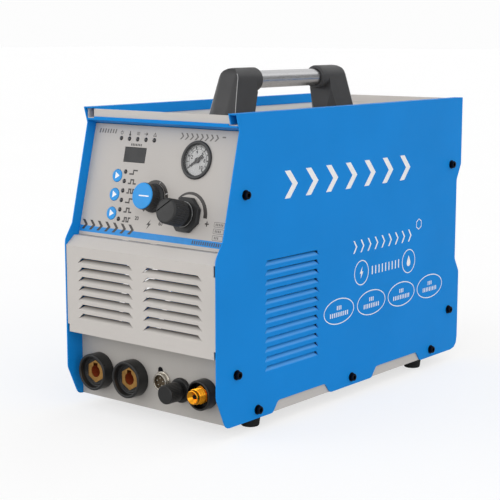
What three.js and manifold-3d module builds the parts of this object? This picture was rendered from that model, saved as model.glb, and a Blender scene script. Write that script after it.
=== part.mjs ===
// Portable plasma cutter: a sheet-metal power source with an air regulator, a carry handle
// and the front connectors for torch and work leads. Millimetres, +Z up, front towards -Y.
import * as THREE from 'three';
import { mergeVertices } from 'three/addons/utils/BufferGeometryUtils.js';
import { ConvexGeometry } from 'three/addons/geometries/ConvexGeometry.js';
import Module from 'manifold-3d';

const wasm = await Module();
wasm.setup();

// ---------------------------------------------------------------- driving dimensions
const GAP = 0.3; // clearance between neighbouring pieces
const SHEET = 1.5; // casing sheet thickness
const HALF_WIDTH = 115; // outer face of a side panel
const INNER_HALF = HALF_WIDTH - SHEET - GAP; // room for what fits between the side panels
const DEPTH = 503; // front edge to rear edge of a side panel
const REAR_REACH = 519; // tip of the air inlet, the rearmost point
const FRONT_REACH = -8.46; // lower rim of the regulator knob, the foremost point
const BOTTOM = 14; // underside of the side panels above the floor
const TRAY_Z = 14.4; // underside of the base tray
const DECK_Z = 340.5; // upper face of the top cover
const TOP = 352.5; // top edge of the side panels
const CHANNEL = 12; // width of the folded channel along each top edge
const COVER_FRONT = 39.2; // front face of the top cover

const FASCIA_FOOT = [21.83, 209]; // y and z of the fascia's lower edge
const FASCIA_LEAN = Math.atan(0.249); // how far the fascia leans back from upright
const FASCIA_HEIGHT = 127.5; // along the lean
const FASCIA_HEM = -3.6; // how far the sheet runs below the fascia's lower edge
const COVER_Y = 0.7; // front face of the louvre cover
const COVER_FLOOR = 93; // underside of the louvre cover
const PORT_Y = 23; // front face of the connector panel
const REAR_Y = 489; // outer face of the rear panel
const FLANGE = 18; // depth of the side flanges that the screws hold

const SCREW_HOLE = 2.8; // radius
const UPPER_SCREWS = [[48.6, 265.7], [477.6, 265.7]]; // y and z on a side panel
const LOWER_SCREWS = [[33.5, 70.9], [477.6, 70.9]];
const TRAY_SCREWS = [[69.8, 24.1], [252.2, 24.1], [434.6, 24.1]];

const LOUVRE_HEIGHT = 6.4;
const LOUVRE_PITCH = 10.85;
const LOUVRE_BEND = 0.74; // how far a louvre's tongue is bent inwards, radians
const FRONT_LOUVRES = { rows: 7, firstZ: 182, columns: [-50.9, 51.3], topHalf: 37.2, bottomHalf: 43.9 };
const SIDE_LOUVRES = { rows: 12, firstZ: 189.6, centreY: 133.2, topHalf: 46.5, bottomHalf: 50.6 };

const GAUGE = { x: 50.1, s: 93.2, rim: 21.6, window: 17.4 };
const CURRENT = { x: -4, s: 46.8 };
const REGULATOR = { x: 48.4, s: 32.2 };
const BUTTON = { x: -65.8, s: [68.4, 46.6, 24.8], radius: 7.3 };
const DISPLAY = { x: -43.5, s: 93.6, width: 33, height: 17 };
const STATUS_LEDS = { x: [-68.8, -55.9, -43, -30.1, -17.2], s: 111.7 };
const MODE_LEDS = { x: -53.8, firstS: 73.7, pitch: 10.9, count: 6 };

const SOCKETS = { x: [-82.6, -28], z: 46.7, radius: 21.6, reach: 16 };
const PIN_PORT = { x: 16.2, z: 49.7 };
const FUSE = { x: 44.1, z: 44.3 };
const TORCH = { x: 80.3, z: 46.7, radius: 17 };

const HANDLE = { centreY: 267.2, tubeZ: 381.5, tubeRadius: 10.5, arch: 14.6, footHalf: 20 };
const FEET = { x: 95, y: [81.4, 422.2] };

const FAN = { z: 235, size: 120, bore: 57 };
const SWITCH = { x: 60, z: 140, pivot: 4, tilt: THREE.MathUtils.degToRad(9) };
const GLAND = { x: -60, z: 140, bore: 6 };
const INLET = { x: 60, z: 72 };
const STUD = { x: -60, z: 72 };
const BRACKET_Z = 177.5; // upper face of the bracket over the transformer

const FINISH = {
  blueSteel: { color: 0x2682cb, roughness: 0.45, metalness: 0.1 },
  beigeSteel: { color: 0xc8c4bf, roughness: 0.5, metalness: 0.1 },
  blackPlastic: { color: 0x38383a, roughness: 0.55, metalness: 0 },
  bluePlastic: { color: 0x4296eb, roughness: 0.4, metalness: 0 },
  rubber: { color: 0x1c1c1d, roughness: 0.8, metalness: 0 },
  steel: { color: 0xb8b9bb, roughness: 0.25, metalness: 1 },
  blackSteel: { color: 0x222224, roughness: 0.4, metalness: 0.6 },
  brass: { color: 0xd9a441, roughness: 0.3, metalness: 1 },
  nickel: { color: 0xb5b0a8, roughness: 0.2, metalness: 1 },
  aluminium: { color: 0xc4c6c8, roughness: 0.4, metalness: 1 },
  circuitBoard: { color: 0x1f5a36, roughness: 0.5, metalness: 0 },
  ferrite: { color: 0x3c3b3a, roughness: 0.7, metalness: 0 },
  copper: { color: 0xb8733a, roughness: 0.4, metalness: 0.8 },
  dialWhite: { color: 0xf0f0ee, roughness: 0.5, metalness: 0 },
  clear: { color: 0xe6eef2, roughness: 0.05, metalness: 0 },
  hose: { color: 0x2f6fb5, roughness: 0.5, metalness: 0 },
};

// ---------------------------------------------------------------- solids
// A closed geometry becomes a solid that can be joined and cut; a solid passes through.
function toSolid(shape) {
  if (!shape.isBufferGeometry) return shape;
  const bare = shape.clone();
  bare.deleteAttribute('normal');
  bare.deleteAttribute('uv');
  const merged = mergeVertices(bare, 1e-4);
  const points = merged.getAttribute('position').array;
  const corner = (i) => new THREE.Vector3().fromArray(points, 3 * i);
  const triangles = [];
  let volume = 0;
  for (let i = 0; i < merged.index.count; i += 3) {
    const [a, b, c] = merged.index.array.slice(i, i + 3);
    if (a === b || b === c || c === a) continue;
    triangles.push([a, b, c]);
    volume += corner(a).dot(corner(b).cross(corner(c)));
  }
  const outward = volume > 0 ? triangles : triangles.map(([a, b, c]) => [a, c, b]);
  const vertProperties = new Float32Array(points);
  const triVerts = new Uint32Array(outward.flat());
  return new wasm.Manifold(new wasm.Mesh({ numProp: 3, vertProperties, triVerts }));
}

function toGeometry(solid) {
  const mesh = solid.getMesh();
  const geometry = new THREE.BufferGeometry();
  geometry.setAttribute('position', new THREE.BufferAttribute(mesh.vertProperties, 3));
  geometry.setIndex(new THREE.BufferAttribute(mesh.triVerts, 1));
  return geometry;
}

function join(first, ...others) {
  return others.reduce((sum, other) => sum.add(toSolid(other)), toSolid(first));
}

function cut(first, ...tools) {
  return tools.reduce((rest, tool) => rest.subtract(toSolid(tool)), toSolid(first));
}

function common(first, second) {
  return toSolid(first).intersect(toSolid(second));
}

function moved(shape, x, y, z) {
  return shape.clone().translate(x, y, z);
}

function mirroredX(solid) {
  return toSolid(toGeometry(solid).scale(-1, 1, 1));
}

function mirroredAboutY(solid, y) {
  return toSolid(toGeometry(solid).scale(1, -1, 1).translate(0, 2 * y, 0));
}

// Turns a shape made for the front (outwards is -Y) so that outwards is +X.
function facingRight(shape) {
  return shape.clone().rotateZ(Math.PI / 2);
}

function place(parent, name, shape, finish, position = [0, 0, 0]) {
  const geometry = toGeometry(toSolid(shape));
  geometry.computeVertexNormals();
  const mesh = new THREE.Mesh(geometry, new THREE.MeshStandardMaterial(finish));
  mesh.name = name;
  mesh.position.set(...position);
  parent.add(mesh);
}

// ---------------------------------------------------------------- basic shapes
function block(x0, x1, y0, y1, z0, z1) {
  const box = new THREE.BoxGeometry(x1 - x0, y1 - y0, z1 - z0);
  return box.translate((x0 + x1) / 2, (y0 + y1) / 2, (z0 + z1) / 2);
}

// A closed outline from corners [u, v] or [u, v, rounding radius].
function outline(corners) {
  const shape = new THREE.Shape();
  const count = corners.length;
  corners.forEach(([u, v, radius = 0], i) => {
    const corner = new THREE.Vector2(u, v);
    const back = new THREE.Vector2(...corners[(i + count - 1) % count]).sub(corner).normalize();
    const ahead = new THREE.Vector2(...corners[(i + 1) % count]).sub(corner).normalize();
    const reach = radius / Math.tan(Math.acos(back.dot(ahead)) / 2);
    const start = back.multiplyScalar(reach).add(corner);
    const end = ahead.multiplyScalar(reach).add(corner);
    if (i === 0) shape.moveTo(start.x, start.y);
    else shape.lineTo(start.x, start.y);
    if (radius > 0) shape.quadraticCurveTo(u, v, end.x, end.y);
  });
  shape.closePath();
  return shape;
}

// The closed section of a bent sheet: a run of points and its offset to the left.
function bentSheet(points, thickness = SHEET) {
  const run = points.map(([u, v]) => new THREE.Vector2(u, v));
  const normals = run.slice(1).map((point, i) => {
    const along = point.clone().sub(run[i]).normalize();
    return new THREE.Vector2(-along.y, along.x);
  });
  const offset = run.map((point, i) => {
    const before = normals[Math.max(i - 1, 0)];
    const after = normals[Math.min(i, normals.length - 1)];
    const mitre = before.clone().add(after).normalize();
    return point.clone().addScaledVector(mitre, thickness / mitre.dot(before));
  });
  return new THREE.Shape([...run, ...offset.reverse()]);
}

function extruded(shape, depth, curveSegments = 3) {
  return new THREE.ExtrudeGeometry(shape, { depth, bevelEnabled: false, curveSegments });
}

// Prisms: an outline in (y, z), (x, z) or (x, y), run along the third axis.
function prismX(shape, x0, x1, curveSegments) {
  const turn = new THREE.Matrix4().makeBasis(
    new THREE.Vector3(0, 1, 0), new THREE.Vector3(0, 0, 1), new THREE.Vector3(1, 0, 0));
  return extruded(shape, x1 - x0, curveSegments).applyMatrix4(turn).translate(x0, 0, 0);
}

function prismY(shape, y0, y1, curveSegments) {
  return extruded(shape, y1 - y0, curveSegments).rotateX(Math.PI / 2).translate(0, y1, 0);
}

function prismZ(shape, z0, z1, curveSegments) {
  return extruded(shape, z1 - z0, curveSegments).translate(0, 0, z0);
}

// A turned piece on the Y axis; the profile is [radius, height], height runs outwards along -Y.
function turned(profile, segments = 18) {
  const points = profile.map(([r, h]) => new THREE.Vector2(r, h));
  return new THREE.LatheGeometry(points, segments).rotateX(Math.PI);
}

function rod(radius, h0, h1, segments = 12) {
  return turned([[0, h0], [radius, h0], [radius, h1], [0, h1]], segments);
}

function ring(outer, inner, h0, h1, segments = 18) {
  return turned([[inner, h0], [outer, h0], [outer, h1], [inner, h1], [inner, h0]], segments);
}

function polygonRod(sides, cornerRadius, h0, h1, firstAngle = Math.PI / 2) {
  const corners = Array.from({ length: sides }, (_, i) => {
    const angle = firstAngle + (2 * Math.PI * i) / sides;
    return [cornerRadius * Math.cos(angle), cornerRadius * Math.sin(angle)];
  });
  return prismY(outline(corners), -h1, -h0);
}

function tube(points, radius, steps) {
  const path = new THREE.CatmullRomCurve3(points.map((point) => new THREE.Vector3(...point)));
  const section = new THREE.Shape().absarc(0, 0, radius, 0, 2 * Math.PI);
  const options = { steps, bevelEnabled: false, extrudePath: path, curveSegments: 2 };
  return new THREE.ExtrudeGeometry(section, options);
}

// ---------------------------------------------------------------- louvres
// A louvre on a face whose outside is -Y: a tongue cut free along its top and both ends and
// bent inwards about its lower edge, so the sheet is left with an opening of the same shape.
function louvrePlate(topHalf, bottomHalf, front, back) {
  const corners = [front, back].flatMap((y) => [
    [-bottomHalf, y, 0], [bottomHalf, y, 0], [-topHalf, y, LOUVRE_HEIGHT], [topHalf, y, LOUVRE_HEIGHT],
  ]);
  return new ConvexGeometry(corners.map((corner) => new THREE.Vector3(...corner)));
}

function louvreTongue({ topHalf, bottomHalf }) {
  const plate = louvrePlate(topHalf - GAP, bottomHalf - GAP, 0, SHEET);
  return moved(plate.rotateX(-LOUVRE_BEND), 0, 0, -LOUVRE_HEIGHT);
}

function louvreOpening({ topHalf, bottomHalf }) {
  return moved(louvrePlate(topHalf, bottomHalf, -1, SHEET + 1), 0, 0, -LOUVRE_HEIGHT);
}

function withLouvres(sheet, spots, spec, turn = (shape) => shape) {
  const at = (shape) => spots.map(([x, y, z]) => moved(turn(shape), x, y, z));
  return join(cut(sheet, ...at(louvreOpening(spec))), ...at(louvreTongue(spec)));
}

function rowsOf(count, first) {
  return Array.from({ length: count }, (_, i) => first - i * LOUVRE_PITCH);
}

// ---------------------------------------------------------------- casing
// One foot opening in a side panel's lower edge, from start to end.
function footOpening(start, end) {
  const [low, high] = [BOTTOM, BOTTOM + 12.7];
  return [[start, low, 6], [start + 10, high, 6], [end - 10, high, 6], [end, low, 6]];
}

function sidePanelOutline() {
  return outline([
    [34.6, TOP], [39.7, 334.2], [11.9, 219.4, 8], [0, 201, 14], [0, 50, 12], [15.7, BOTTOM, 9],
    ...footOpening(97.5, 208), ...footOpening(296, 409.5),
    [DEPTH, BOTTOM, 16], [DEPTH, 120, 8], [492.6, 138, 8], [492.6, 244.5, 8],
    [DEPTH, 265, 8], [DEPTH, TOP],
  ]);
}

function sideHole([y, z], x0 = HALF_WIDTH - 20, x1 = HALF_WIDTH + 1) {
  return moved(facingRight(rod(SCREW_HOLE, x0, x1, 10)), 0, y, z);
}

// The right panel: a flat sheet with a channel folded inwards along its top edge.
function sidePanel() {
  const fold = HALF_WIDTH - CHANNEL;
  const section = bentSheet([[HALF_WIDTH, 0], [HALF_WIDTH, TOP], [fold, TOP], [fold, DECK_Z + GAP]]);
  const face = prismX(sidePanelOutline(), fold - 5, HALF_WIDTH + 5);
  const sheet = common(prismY(section, -10, DEPTH + 10), face);
  const { rows, firstZ, centreY } = SIDE_LOUVRES;
  const spots = rowsOf(rows, firstZ).map((z) => [HALF_WIDTH, centreY, z]);
  const screws = [...UPPER_SCREWS, ...LOWER_SCREWS, ...TRAY_SCREWS];
  const holes = screws.map((spot) => sideHole(spot));
  return cut(withLouvres(sheet, spots, SIDE_LOUVRES, facingRight), ...holes);
}

// The left panel mirrors the right one, but its channel's inner leg ends behind the top cover's flange.
function leftSidePanel(right) {
  const fold = CHANNEL - HALF_WIDTH;
  const legEnd = block(fold - SHEET - 0.2, fold + 1, 30, COVER_FRONT + SHEET + GAP, 330, TOP - SHEET);
  return cut(mirroredX(right), legEnd);
}

function bothSides(tool) {
  const right = toSolid(tool);
  return [right, mirroredX(right)];
}

function baseTray() {
  const [front, rear] = [PORT_Y + SHEET + GAP, REAR_Y - SHEET - GAP];
  const rim = TRAY_Z + 24;
  const half = INNER_HALF;
  const section = bentSheet([[-half, rim], [-half, TRAY_Z], [half, TRAY_Z], [half, rim]]);
  const floor = TRAY_Z + SHEET + 0.1;
  const ends = [
    block(-half - 1, half + 1, front - 1, PORT_Y + FLANGE + GAP, floor, rim + 1),
    block(-half - 1, half + 1, REAR_Y - FLANGE - GAP, rear + 1, floor, rim + 1),
  ];
  const footScrews = FEET.y.flatMap((y) => [-FEET.x, FEET.x].map((x) => (
    moved(rod(2.8, 0, 20, 10).rotateX(-Math.PI / 2), x, y, 0))));
  const sideScrews = TRAY_SCREWS.flatMap((spot) => bothSides(sideHole(spot)));
  return cut(prismY(section, front, rear), ...ends, ...footScrews, ...sideScrews);
}

// The brow closes the front above the fascia: a lip and a flange that slopes back and down.
function frontBrow() {
  const section = bentSheet([[36.9, 341.4], [37.4, 337.6], [54, 333]]);
  const underChannel = block(HALF_WIDTH - CHANNEL - 2, HALF_WIDTH, 30, 45, DECK_Z - 0.9, 345);
  return cut(prismX(section, -INNER_HALF, INNER_HALF), ...bothSides(underChannel));
}

function topCover() {
  const [front, rear] = [COVER_FRONT, DEPTH - 1];
  const plate = DECK_Z - SHEET;
  const fold = HALF_WIDTH - CHANNEL;
  const inner = fold - SHEET;
  const half = INNER_HALF;
  const section = bentSheet([[-half, TOP - 2], [-half, plate], [half, plate], [half, TOP - 2]]);
  const frontFlange = block(-fold, fold - GAP, front, front + SHEET, plate + 0.1, TOP - 2.2);
  const rearFlange = block(-inner, inner, rear - SHEET, rear, plate + 0.1, TOP - 1.2);
  const channelMouth = block(fold + GAP, HALF_WIDTH, front - 1, front + 30, DECK_Z, TOP);
  return join(cut(prismY(section, front, rear), channelMouth), frontFlange, rearFlange);
}

// Position on the fascia of a point given by its y and z: depth behind the face, and height.
function onFascia(y, z) {
  const point = new THREE.Vector3(0, y - FASCIA_FOOT[0], z - FASCIA_FOOT[1]);
  point.applyAxisAngle(new THREE.Vector3(1, 0, 0), FASCIA_LEAN);
  return [point.y, point.z];
}

function ledSpots() {
  const { x, firstS, pitch, count } = MODE_LEDS;
  const modes = Array.from({ length: count }, (_, i) => [x, firstS - i * pitch]);
  return [...STATUS_LEDS.x.map((across) => [across, STATUS_LEDS.s]), ...modes];
}

function controlFascia() {
  const half = INNER_HALF;
  const section = bentSheet([[half, FLANGE], [half, 0], [-half, 0], [-half, FLANGE]], -SHEET);
  const hole = (x, s, radius, segments) => moved(rod(radius, -5, 5, segments), x, 0, s);
  const window = [DISPLAY.width / 2 + GAP, DISPLAY.height / 2 + GAP];
  const tools = [
    hole(GAUGE.x, GAUGE.s, 20.2, 20),
    hole(CURRENT.x, CURRENT.s, 4, 10),
    hole(REGULATOR.x, REGULATOR.s, 9, 16),
    ...BUTTON.s.map((s) => hole(BUTTON.x, s, BUTTON.radius + 0.4, 16)),
    ...ledSpots().map(([x, s]) => hole(x, s, 2.8, 8)),
    moved(block(-window[0], window[0], -5, 5, -window[1], window[1]), DISPLAY.x, 0, DISPLAY.s),
    ...bothSides(sideHole(onFascia(...UPPER_SCREWS[0]))),
  ];
  return cut(prismZ(section, FASCIA_HEM, FASCIA_HEIGHT), ...tools);
}

function louvreCover() {
  const section = bentSheet([
    [22.5, 204.9], [13.4, 205.3], [COVER_Y, 194.8], [COVER_Y, COVER_FLOOR],
    [PORT_Y - 0.4, COVER_FLOOR],
  ]);
  const spots = FRONT_LOUVRES.columns.flatMap((x) => (
    rowsOf(FRONT_LOUVRES.rows, FRONT_LOUVRES.firstZ).map((z) => [x, COVER_Y, z])));
  const relief = (z, height) => block(INNER_HALF - 2.6, HALF_WIDTH, COVER_Y - 1, COVER_Y + 6, z, z + height);
  const reliefs = [relief(182.5, 12.3), ...bothSides(relief(COVER_FLOOR - 1, 10))];
  return cut(withLouvres(prismX(section, -INNER_HALF, INNER_HALF), spots, FRONT_LOUVRES), ...reliefs);
}

function connectorPanel() {
  const back = PORT_Y + FLANGE;
  const half = INNER_HALF;
  const section = bentSheet([[half, back], [half, PORT_Y], [-half, PORT_Y], [-half, back]], -SHEET);
  const hole = (x, z, radius) => moved(rod(radius, -5, 5, 16), x, PORT_Y, z);
  const tools = [
    ...SOCKETS.x.map((x) => hole(x, SOCKETS.z, 14.1)),
    hole(PIN_PORT.x, PIN_PORT.z, 8.4),
    hole(FUSE.x, FUSE.z, 8),
    hole(TORCH.x, TORCH.z, 8.6),
    ...bothSides(sideHole(LOWER_SCREWS[0])),
    block(-HALF_WIDTH, HALF_WIDTH, PORT_Y + SHEET + 0.1, back + 1, 0, TRAY_Z + SHEET + GAP),
  ];
  return cut(prismZ(section, TRAY_Z, COVER_FLOOR - 0.5), ...tools);
}

function rearPanel() {
  const front = REAR_Y - FLANGE;
  const half = INNER_HALF;
  const section = bentSheet([[half, front], [half, REAR_Y], [-half, REAR_Y], [-half, front]]);
  const hole = (x, z, radius, segments = 12) => moved(rod(radius, -5, 5, segments), x, REAR_Y, z);
  const tools = [
    hole(0, FAN.z, FAN.bore, 24),
    hole(GLAND.x, GLAND.z, 8.6),
    hole(INLET.x, INLET.z, 6.6),
    hole(STUD.x, STUD.z, 3.5),
    moved(block(-10.8, 10.8, -5, 5, -14, 14), SWITCH.x, REAR_Y, SWITCH.z),
    ...[UPPER_SCREWS[1], LOWER_SCREWS[1]].flatMap((spot) => bothSides(sideHole(spot))),
    block(-HALF_WIDTH, HALF_WIDTH, front - 1, REAR_Y - SHEET - 0.1, 0, TRAY_Z + SHEET + GAP),
  ];
  return cut(prismZ(section, TRAY_Z, DECK_Z - SHEET - GAP), ...tools);
}

function fanGrille() {
  const rings = [22, 32, 42].map((radius) => ring(radius + 1.6, radius - 1.6, 0.6, 3, 12));
  const rim = ring(58, 53, GAP, 3.4, 20);
  const spokes = [1, 3].map((i) => block(-56, 56, -2.6, -0.9, -1.6, 1.6).rotateY((i * Math.PI) / 4));
  const tabs = [1, 3, 5, 7].map((i) => {
    const angle = (i * Math.PI) / 4;
    return moved(rod(6, GAP, 3, 8), 57.5 * Math.cos(angle), 0, 57.5 * Math.sin(angle));
  });
  return join(rim, ...rings, ...spokes, rod(11, 0.6, 3.4, 12), ...tabs);
}

// ---------------------------------------------------------------- handle and feet
// The front post: leans back, arched over the tube, with a round boss that holds it.
function handlePost() {
  const { centreY, tubeZ, tubeRadius, arch, footHalf } = HANDLE;
  const [base, crown] = [DECK_Z + GAP, tubeZ + arch];
  const reach = (y) => centreY - y; // distance in front of the handle's middle
  const side = outline([
    [reach(127), base], [reach(106.5), crown, 12], [reach(74), crown], [reach(74), base],
  ]);
  const front = new THREE.Shape();
  front.moveTo(-footHalf, base - 1);
  front.lineTo(-arch, tubeZ);
  front.absarc(0, tubeZ, arch, Math.PI, 0, true);
  front.lineTo(footHalf, base - 1);
  front.closePath();
  const bulge = 33;
  const lean = Math.atan(0.36);
  const rounded = rod(bulge, -120, 120, 48).rotateX(Math.PI / 2 - lean);
  const body = common(common(prismX(side, -25, 25), prismY(front, 100, 300, 8)),
    moved(rounded, 0, reach(127) + bulge * 1.03, base));
  const chamfer = prismZ(outline([[0, 0], [20, -20], [20, 20]]), -50, 29);
  const edges = [1, -1].map((turn) => moved(chamfer.clone().scale(turn, 1, 1).rotateX(-Math.atan(0.25)),
    turn * 9.5, reach(73.5), base));
  const boss = turned([[0, 0], [arch - 2.4, 0], [arch - 0.7, 0.7], [arch, 2.4], [arch, 24], [0, 24]], 28);
  const socket = moved(rod(tubeRadius + GAP + 0.2, -20, 12, 20), 0, reach(60.4), tubeZ);
  return cut(join(cut(body, ...edges), moved(boss, 0, reach(60.4), tubeZ)), socket);
}

function handleTube() {
  const { centreY, tubeZ, tubeRadius } = HANDLE;
  const half = 60.4 + 11;
  return moved(ring(tubeRadius, tubeRadius - 1.6, -half, half, 20), 0, centreY, tubeZ);
}

function foot() {
  const top = TRAY_Z - GAP;
  const profile = [[4, 6], [4, 0], [9.8, 0], [10.2, 0.8], [12.4, top], [0, top], [0, 6], [4, 6]];
  return turned(profile, 16).rotateX(-Math.PI / 2);
}

// A socket-head screw with its washer, head outwards.
function sideScrew() {
  const profile = [[0, -6], [2.4, -6], [2.4, 0.2], [5.7, 0.2], [5.7, 1.4], [4.5, 1.4], [4.5, 5], [0, 5]];
  return cut(turned(profile, 12), polygonRod(6, 2.3, 2.4, 6));
}

// ---------------------------------------------------------------- fascia pieces
function gaugeCase() {
  const { rim, window } = GAUGE;
  return turned([
    [0, -22], [19.5, -22], [19.5, GAP], [rim, GAP], [rim, 1.4], [rim - 1.1, 2.4],
    [window + 1, 2.4], [window, 1.8], [window, -2.5], [2, -2.5], [2, -7], [0, -7], [0, -22],
  ], 24);
}

function gaugeNeedle() {
  const zeroPose = THREE.MathUtils.degToRad(215.6);
  const blade = outline([[-8.6, -2], [-8.6, 2], [0, 1.7], [12.6, 0.4], [12.6, -0.4], [0, -1.7]]);
  const pointer = prismY(blade, 0.1, 0.9).rotateY(-zeroPose);
  return join(pointer, rod(1.5, -6.5, 0, 10), rod(3.2, -0.9, 0.5, 12));
}

function button() {
  const { radius } = BUTTON;
  return turned([[0, -3.6], [3, -3.6], [3, -2.9], [radius + 1, -2.9], [radius + 1, -1.9], [radius, -1.9],
    [radius, 0.4], [radius - 0.6, 0.9], [0, 1]], 16);
}

function displayWindow() {
  const [halfWide, halfHigh] = [DISPLAY.width / 2, DISPLAY.height / 2];
  const pane = block(-halfWide, halfWide, -0.1, 3, -halfHigh, halfHigh);
  return join(pane, block(-halfWide - 2, halfWide + 2, SHEET + GAP, 3.4, -halfHigh - 2, halfHigh + 2));
}

function currentKnob() {
  return turned([
    [3.6, 0.8], [16.3, 0.8], [16.3, 3], [14.2, 6], [14.2, 12], [15.1, 14], [15.1, 19],
    [13.9, 19], [13.9, 18], [0, 18], [0, 13], [3.6, 13], [3.6, 0.8],
  ]);
}

function regulatorKnob() {
  const body = turned([
    [11.6, 14.3], [14.8, 14.3], [14, 35], [13, 36], [0, 36], [0, 24.2], [11.6, 24.2], [11.6, 14.3],
  ]);
  const slot = block(-15, 15, -37, -34.6, 5.8, 7.2).rotateY(-THREE.MathUtils.degToRad(37));
  return cut(body, slot);
}

function regulatorSpindle() {
  return turned([
    [0, -2], [4, -2], [4, 6.6], [14.2, 6.6], [14.2, 8.4], [11.1, 8.4], [11.1, 19.4], [0, 19.4],
  ]);
}

function regulatorNut() {
  return cut(polygonRod(8, 20.7, GAP, 6, Math.PI / 8), rod(9, -1, 7, 16));
}

function regulatorBody() {
  const neck = ring(8.6, 4.4, -12, 6, 16);
  const housing = rod(21, -52, -11, 16);
  const bowl = moved(rod(16, 0, 34, 12).rotateX(Math.PI / 2), 0, 31, -10);
  const port = moved(rod(6, -14, 14, 12).rotateZ(Math.PI / 2), -14, 30, 0);
  return join(housing, neck, bowl, port);
}

function controlBoard() {
  const [face, back] = [11, 12.6];
  const board = block(-82, 22, face, back, 12, 121);
  const leds = ledSpots().map(([x, s]) => moved(rod(2.2, -face - 0.5, -0.2, 8), x, 0, s));
  const keySwitch = join(block(-4, 4, 6.5, face + 0.5, -4, 4), rod(1.8, -7, -4.7, 8));
  const switches = BUTTON.s.map((s) => keySwitch.translate(BUTTON.x, 0, s));
  const potentiometer = join(rod(8.5, -face - 0.5, -4, 12), rod(3, -5, 12, 10));
  const readout = moved(block(-15, 15, 4.2, face + 0.5, -7, 7), DISPLAY.x, 0, DISPLAY.s);
  return join(board, readout, potentiometer.translate(CURRENT.x, 0, CURRENT.s), ...leds, ...switches);
}

// ---------------------------------------------------------------- front connectors
function socketShell() {
  const { radius, reach } = SOCKETS;
  return turned([
    [13.8, GAP], [radius, GAP], [radius, reach - 2], [radius - 1.6, reach], [18.4, reach],
    [17.8, reach - 1], [17.6, 9], [13.8, 9], [13.8, GAP],
  ], 20);
}

function socketInsert() {
  const body = join(polygonRod(6, 13.4, -12, 9), rod(5, -26, -11, 12));
  return cut(body, rod(7, -6, 10, 16), block(-3.4, 3.4, -10, 6, 0, 10.2));
}

function pinPort() {
  const barrel = turned([
    [0, -14], [8.1, -14], [8.1, GAP], [11.4, GAP], [11.4, 1.8], [9.7, 2], [9.7, 6.4], [8, 6.4],
    [7.8, 2.4], [0, 2.4],
  ]);
  const pins = [0, 1, 2, 3, 4].map((i) => {
    const angle = Math.PI / 2 + (2 * Math.PI * i) / 5;
    return moved(rod(0.9, 2, 5.4, 6), 4.4 * Math.cos(angle), 0, 4.4 * Math.sin(angle));
  });
  return join(barrel, ...pins);
}

function fuseHolder() {
  return turned([
    [0, -24], [7.6, -24], [7.6, GAP], [14.1, GAP], [14.1, 3.6], [13.2, 4.8], [11, 5], [6.4, 5],
    [6.4, -14], [0, -14], [0, -24],
  ]);
}

function fuseCap() {
  return turned([
    [0, -8], [6, -8], [6, 5.4], [9.6, 5.4], [9.8, 9.6], [11.2, 10], [11, 12.4], [10.8, 27.2],
    [10, 28], [0, 28],
  ]);
}

function torchShell() {
  const { radius } = TORCH;
  return turned([
    [9, GAP], [radius, GAP], [radius, 12.8], [radius - 1.2, 14.3], [14.7, 14.3], [14.5, 2.4],
    [9, 2.4], [9, GAP],
  ], 20);
}

function torchFitting() {
  const hexagon = polygonRod(6, 10.9, 2.8, 9.6);
  const barrel = turned([
    [0, -20], [8.2, -20], [8.2, 9], [8.8, 9.4], [8.8, 18.8], [7.4, 19.6], [8, 20.4], [8, 22.6],
    [7.4, 23.4], [6.6, 23.4], [2.7, 20.2], [2.7, 8], [0, 8], [0, -20],
  ]);
  return join(barrel, hexagon);
}

// ---------------------------------------------------------------- rear pieces
function switchFrame() {
  const flange = block(-12.6, 12.6, -2, -GAP, -16, 16);
  const collar = block(-10.4, 10.4, -1, 17, -13.6, 13.6);
  return cut(join(flange, collar), block(-8.6, 8.6, -3, 11, -12.3, 12.3));
}

function switchRocker() {
  const section = outline([
    [5.4, -4], [5.4, 4], [-2, 10.6], [-7.4, 10.2], [-3.2, 0], [-7.4, -10.2], [-2, -10.6],
  ]);
  return prismX(section, -8.2, 8.2).rotateX(SWITCH.tilt);
}

function cableGland() {
  const body = turned([
    [GLAND.bore, -12], [8.2, -12], [8.2, GAP], [12, GAP], [12, 10], [11.4, 14], [9.6, 20],
    [8.4, 22], [GLAND.bore, 22], [GLAND.bore, -12],
  ], 16);
  return join(body, cut(polygonRod(6, 14.4, GAP, 6.5), rod(9, -1, 8)));
}

function airInlet() {
  const hexagon = polygonRod(6, 10.4, GAP, 8);
  const barrel = turned([
    [0, -14], [6.2, -14], [6.2, 11], [4.4, 12], [5.6, 15], [4.4, 19], [5.6, 19], [4.4, 23],
    [5.6, 23], [4.2, 30], [2.4, 30], [2.4, 9], [0, 9], [0, -14],
  ], 12);
  return join(barrel, hexagon);
}

function groundStud() {
  const nut = polygonRod(6, 5.8, 2, 7);
  return join(rod(3, -12, 16, 12), rod(6.4, GAP, 1.6), rod(3.6, 1, 3, 12), nut);
}

// ---------------------------------------------------------------- inside
function fanFrame() {
  const half = FAN.size / 2;
  const square = outline([[-half, -half, 4], [half, -half, 4], [half, half, 4], [-half, half, 4]]);
  const shell = prismY(square, 0.4, 25);
  const bore = rod(FAN.bore, -30, 5, 24);
  const holes = [1, 3, 5, 7].map((i) => {
    const angle = (i * Math.PI) / 4;
    return moved(rod(2.2, -30, 5, 6), 74 * Math.cos(angle), 0, 74 * Math.sin(angle));
  });
  const motor = rod(19, -25, -20, 14);
  const strut = block(-58, 58, 21.5, 25, -2.5, 2.5);
  const struts = [1, 3].map((i) => strut.clone().rotateY((i * Math.PI) / 4));
  return join(cut(shell, bore, ...holes), motor, ...struts);
}

function fanRotor() {
  const blades = Array.from({ length: 7 }, (_, i) => {
    const blade = block(16, 54.5, -0.9, 0.9, -11, 11).rotateX(THREE.MathUtils.degToRad(42));
    return moved(blade.rotateY((2 * Math.PI * i) / 7), 0, 10.5, 0);
  });
  return join(rod(21, -19.4, -2, 14), ...blades);
}

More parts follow.
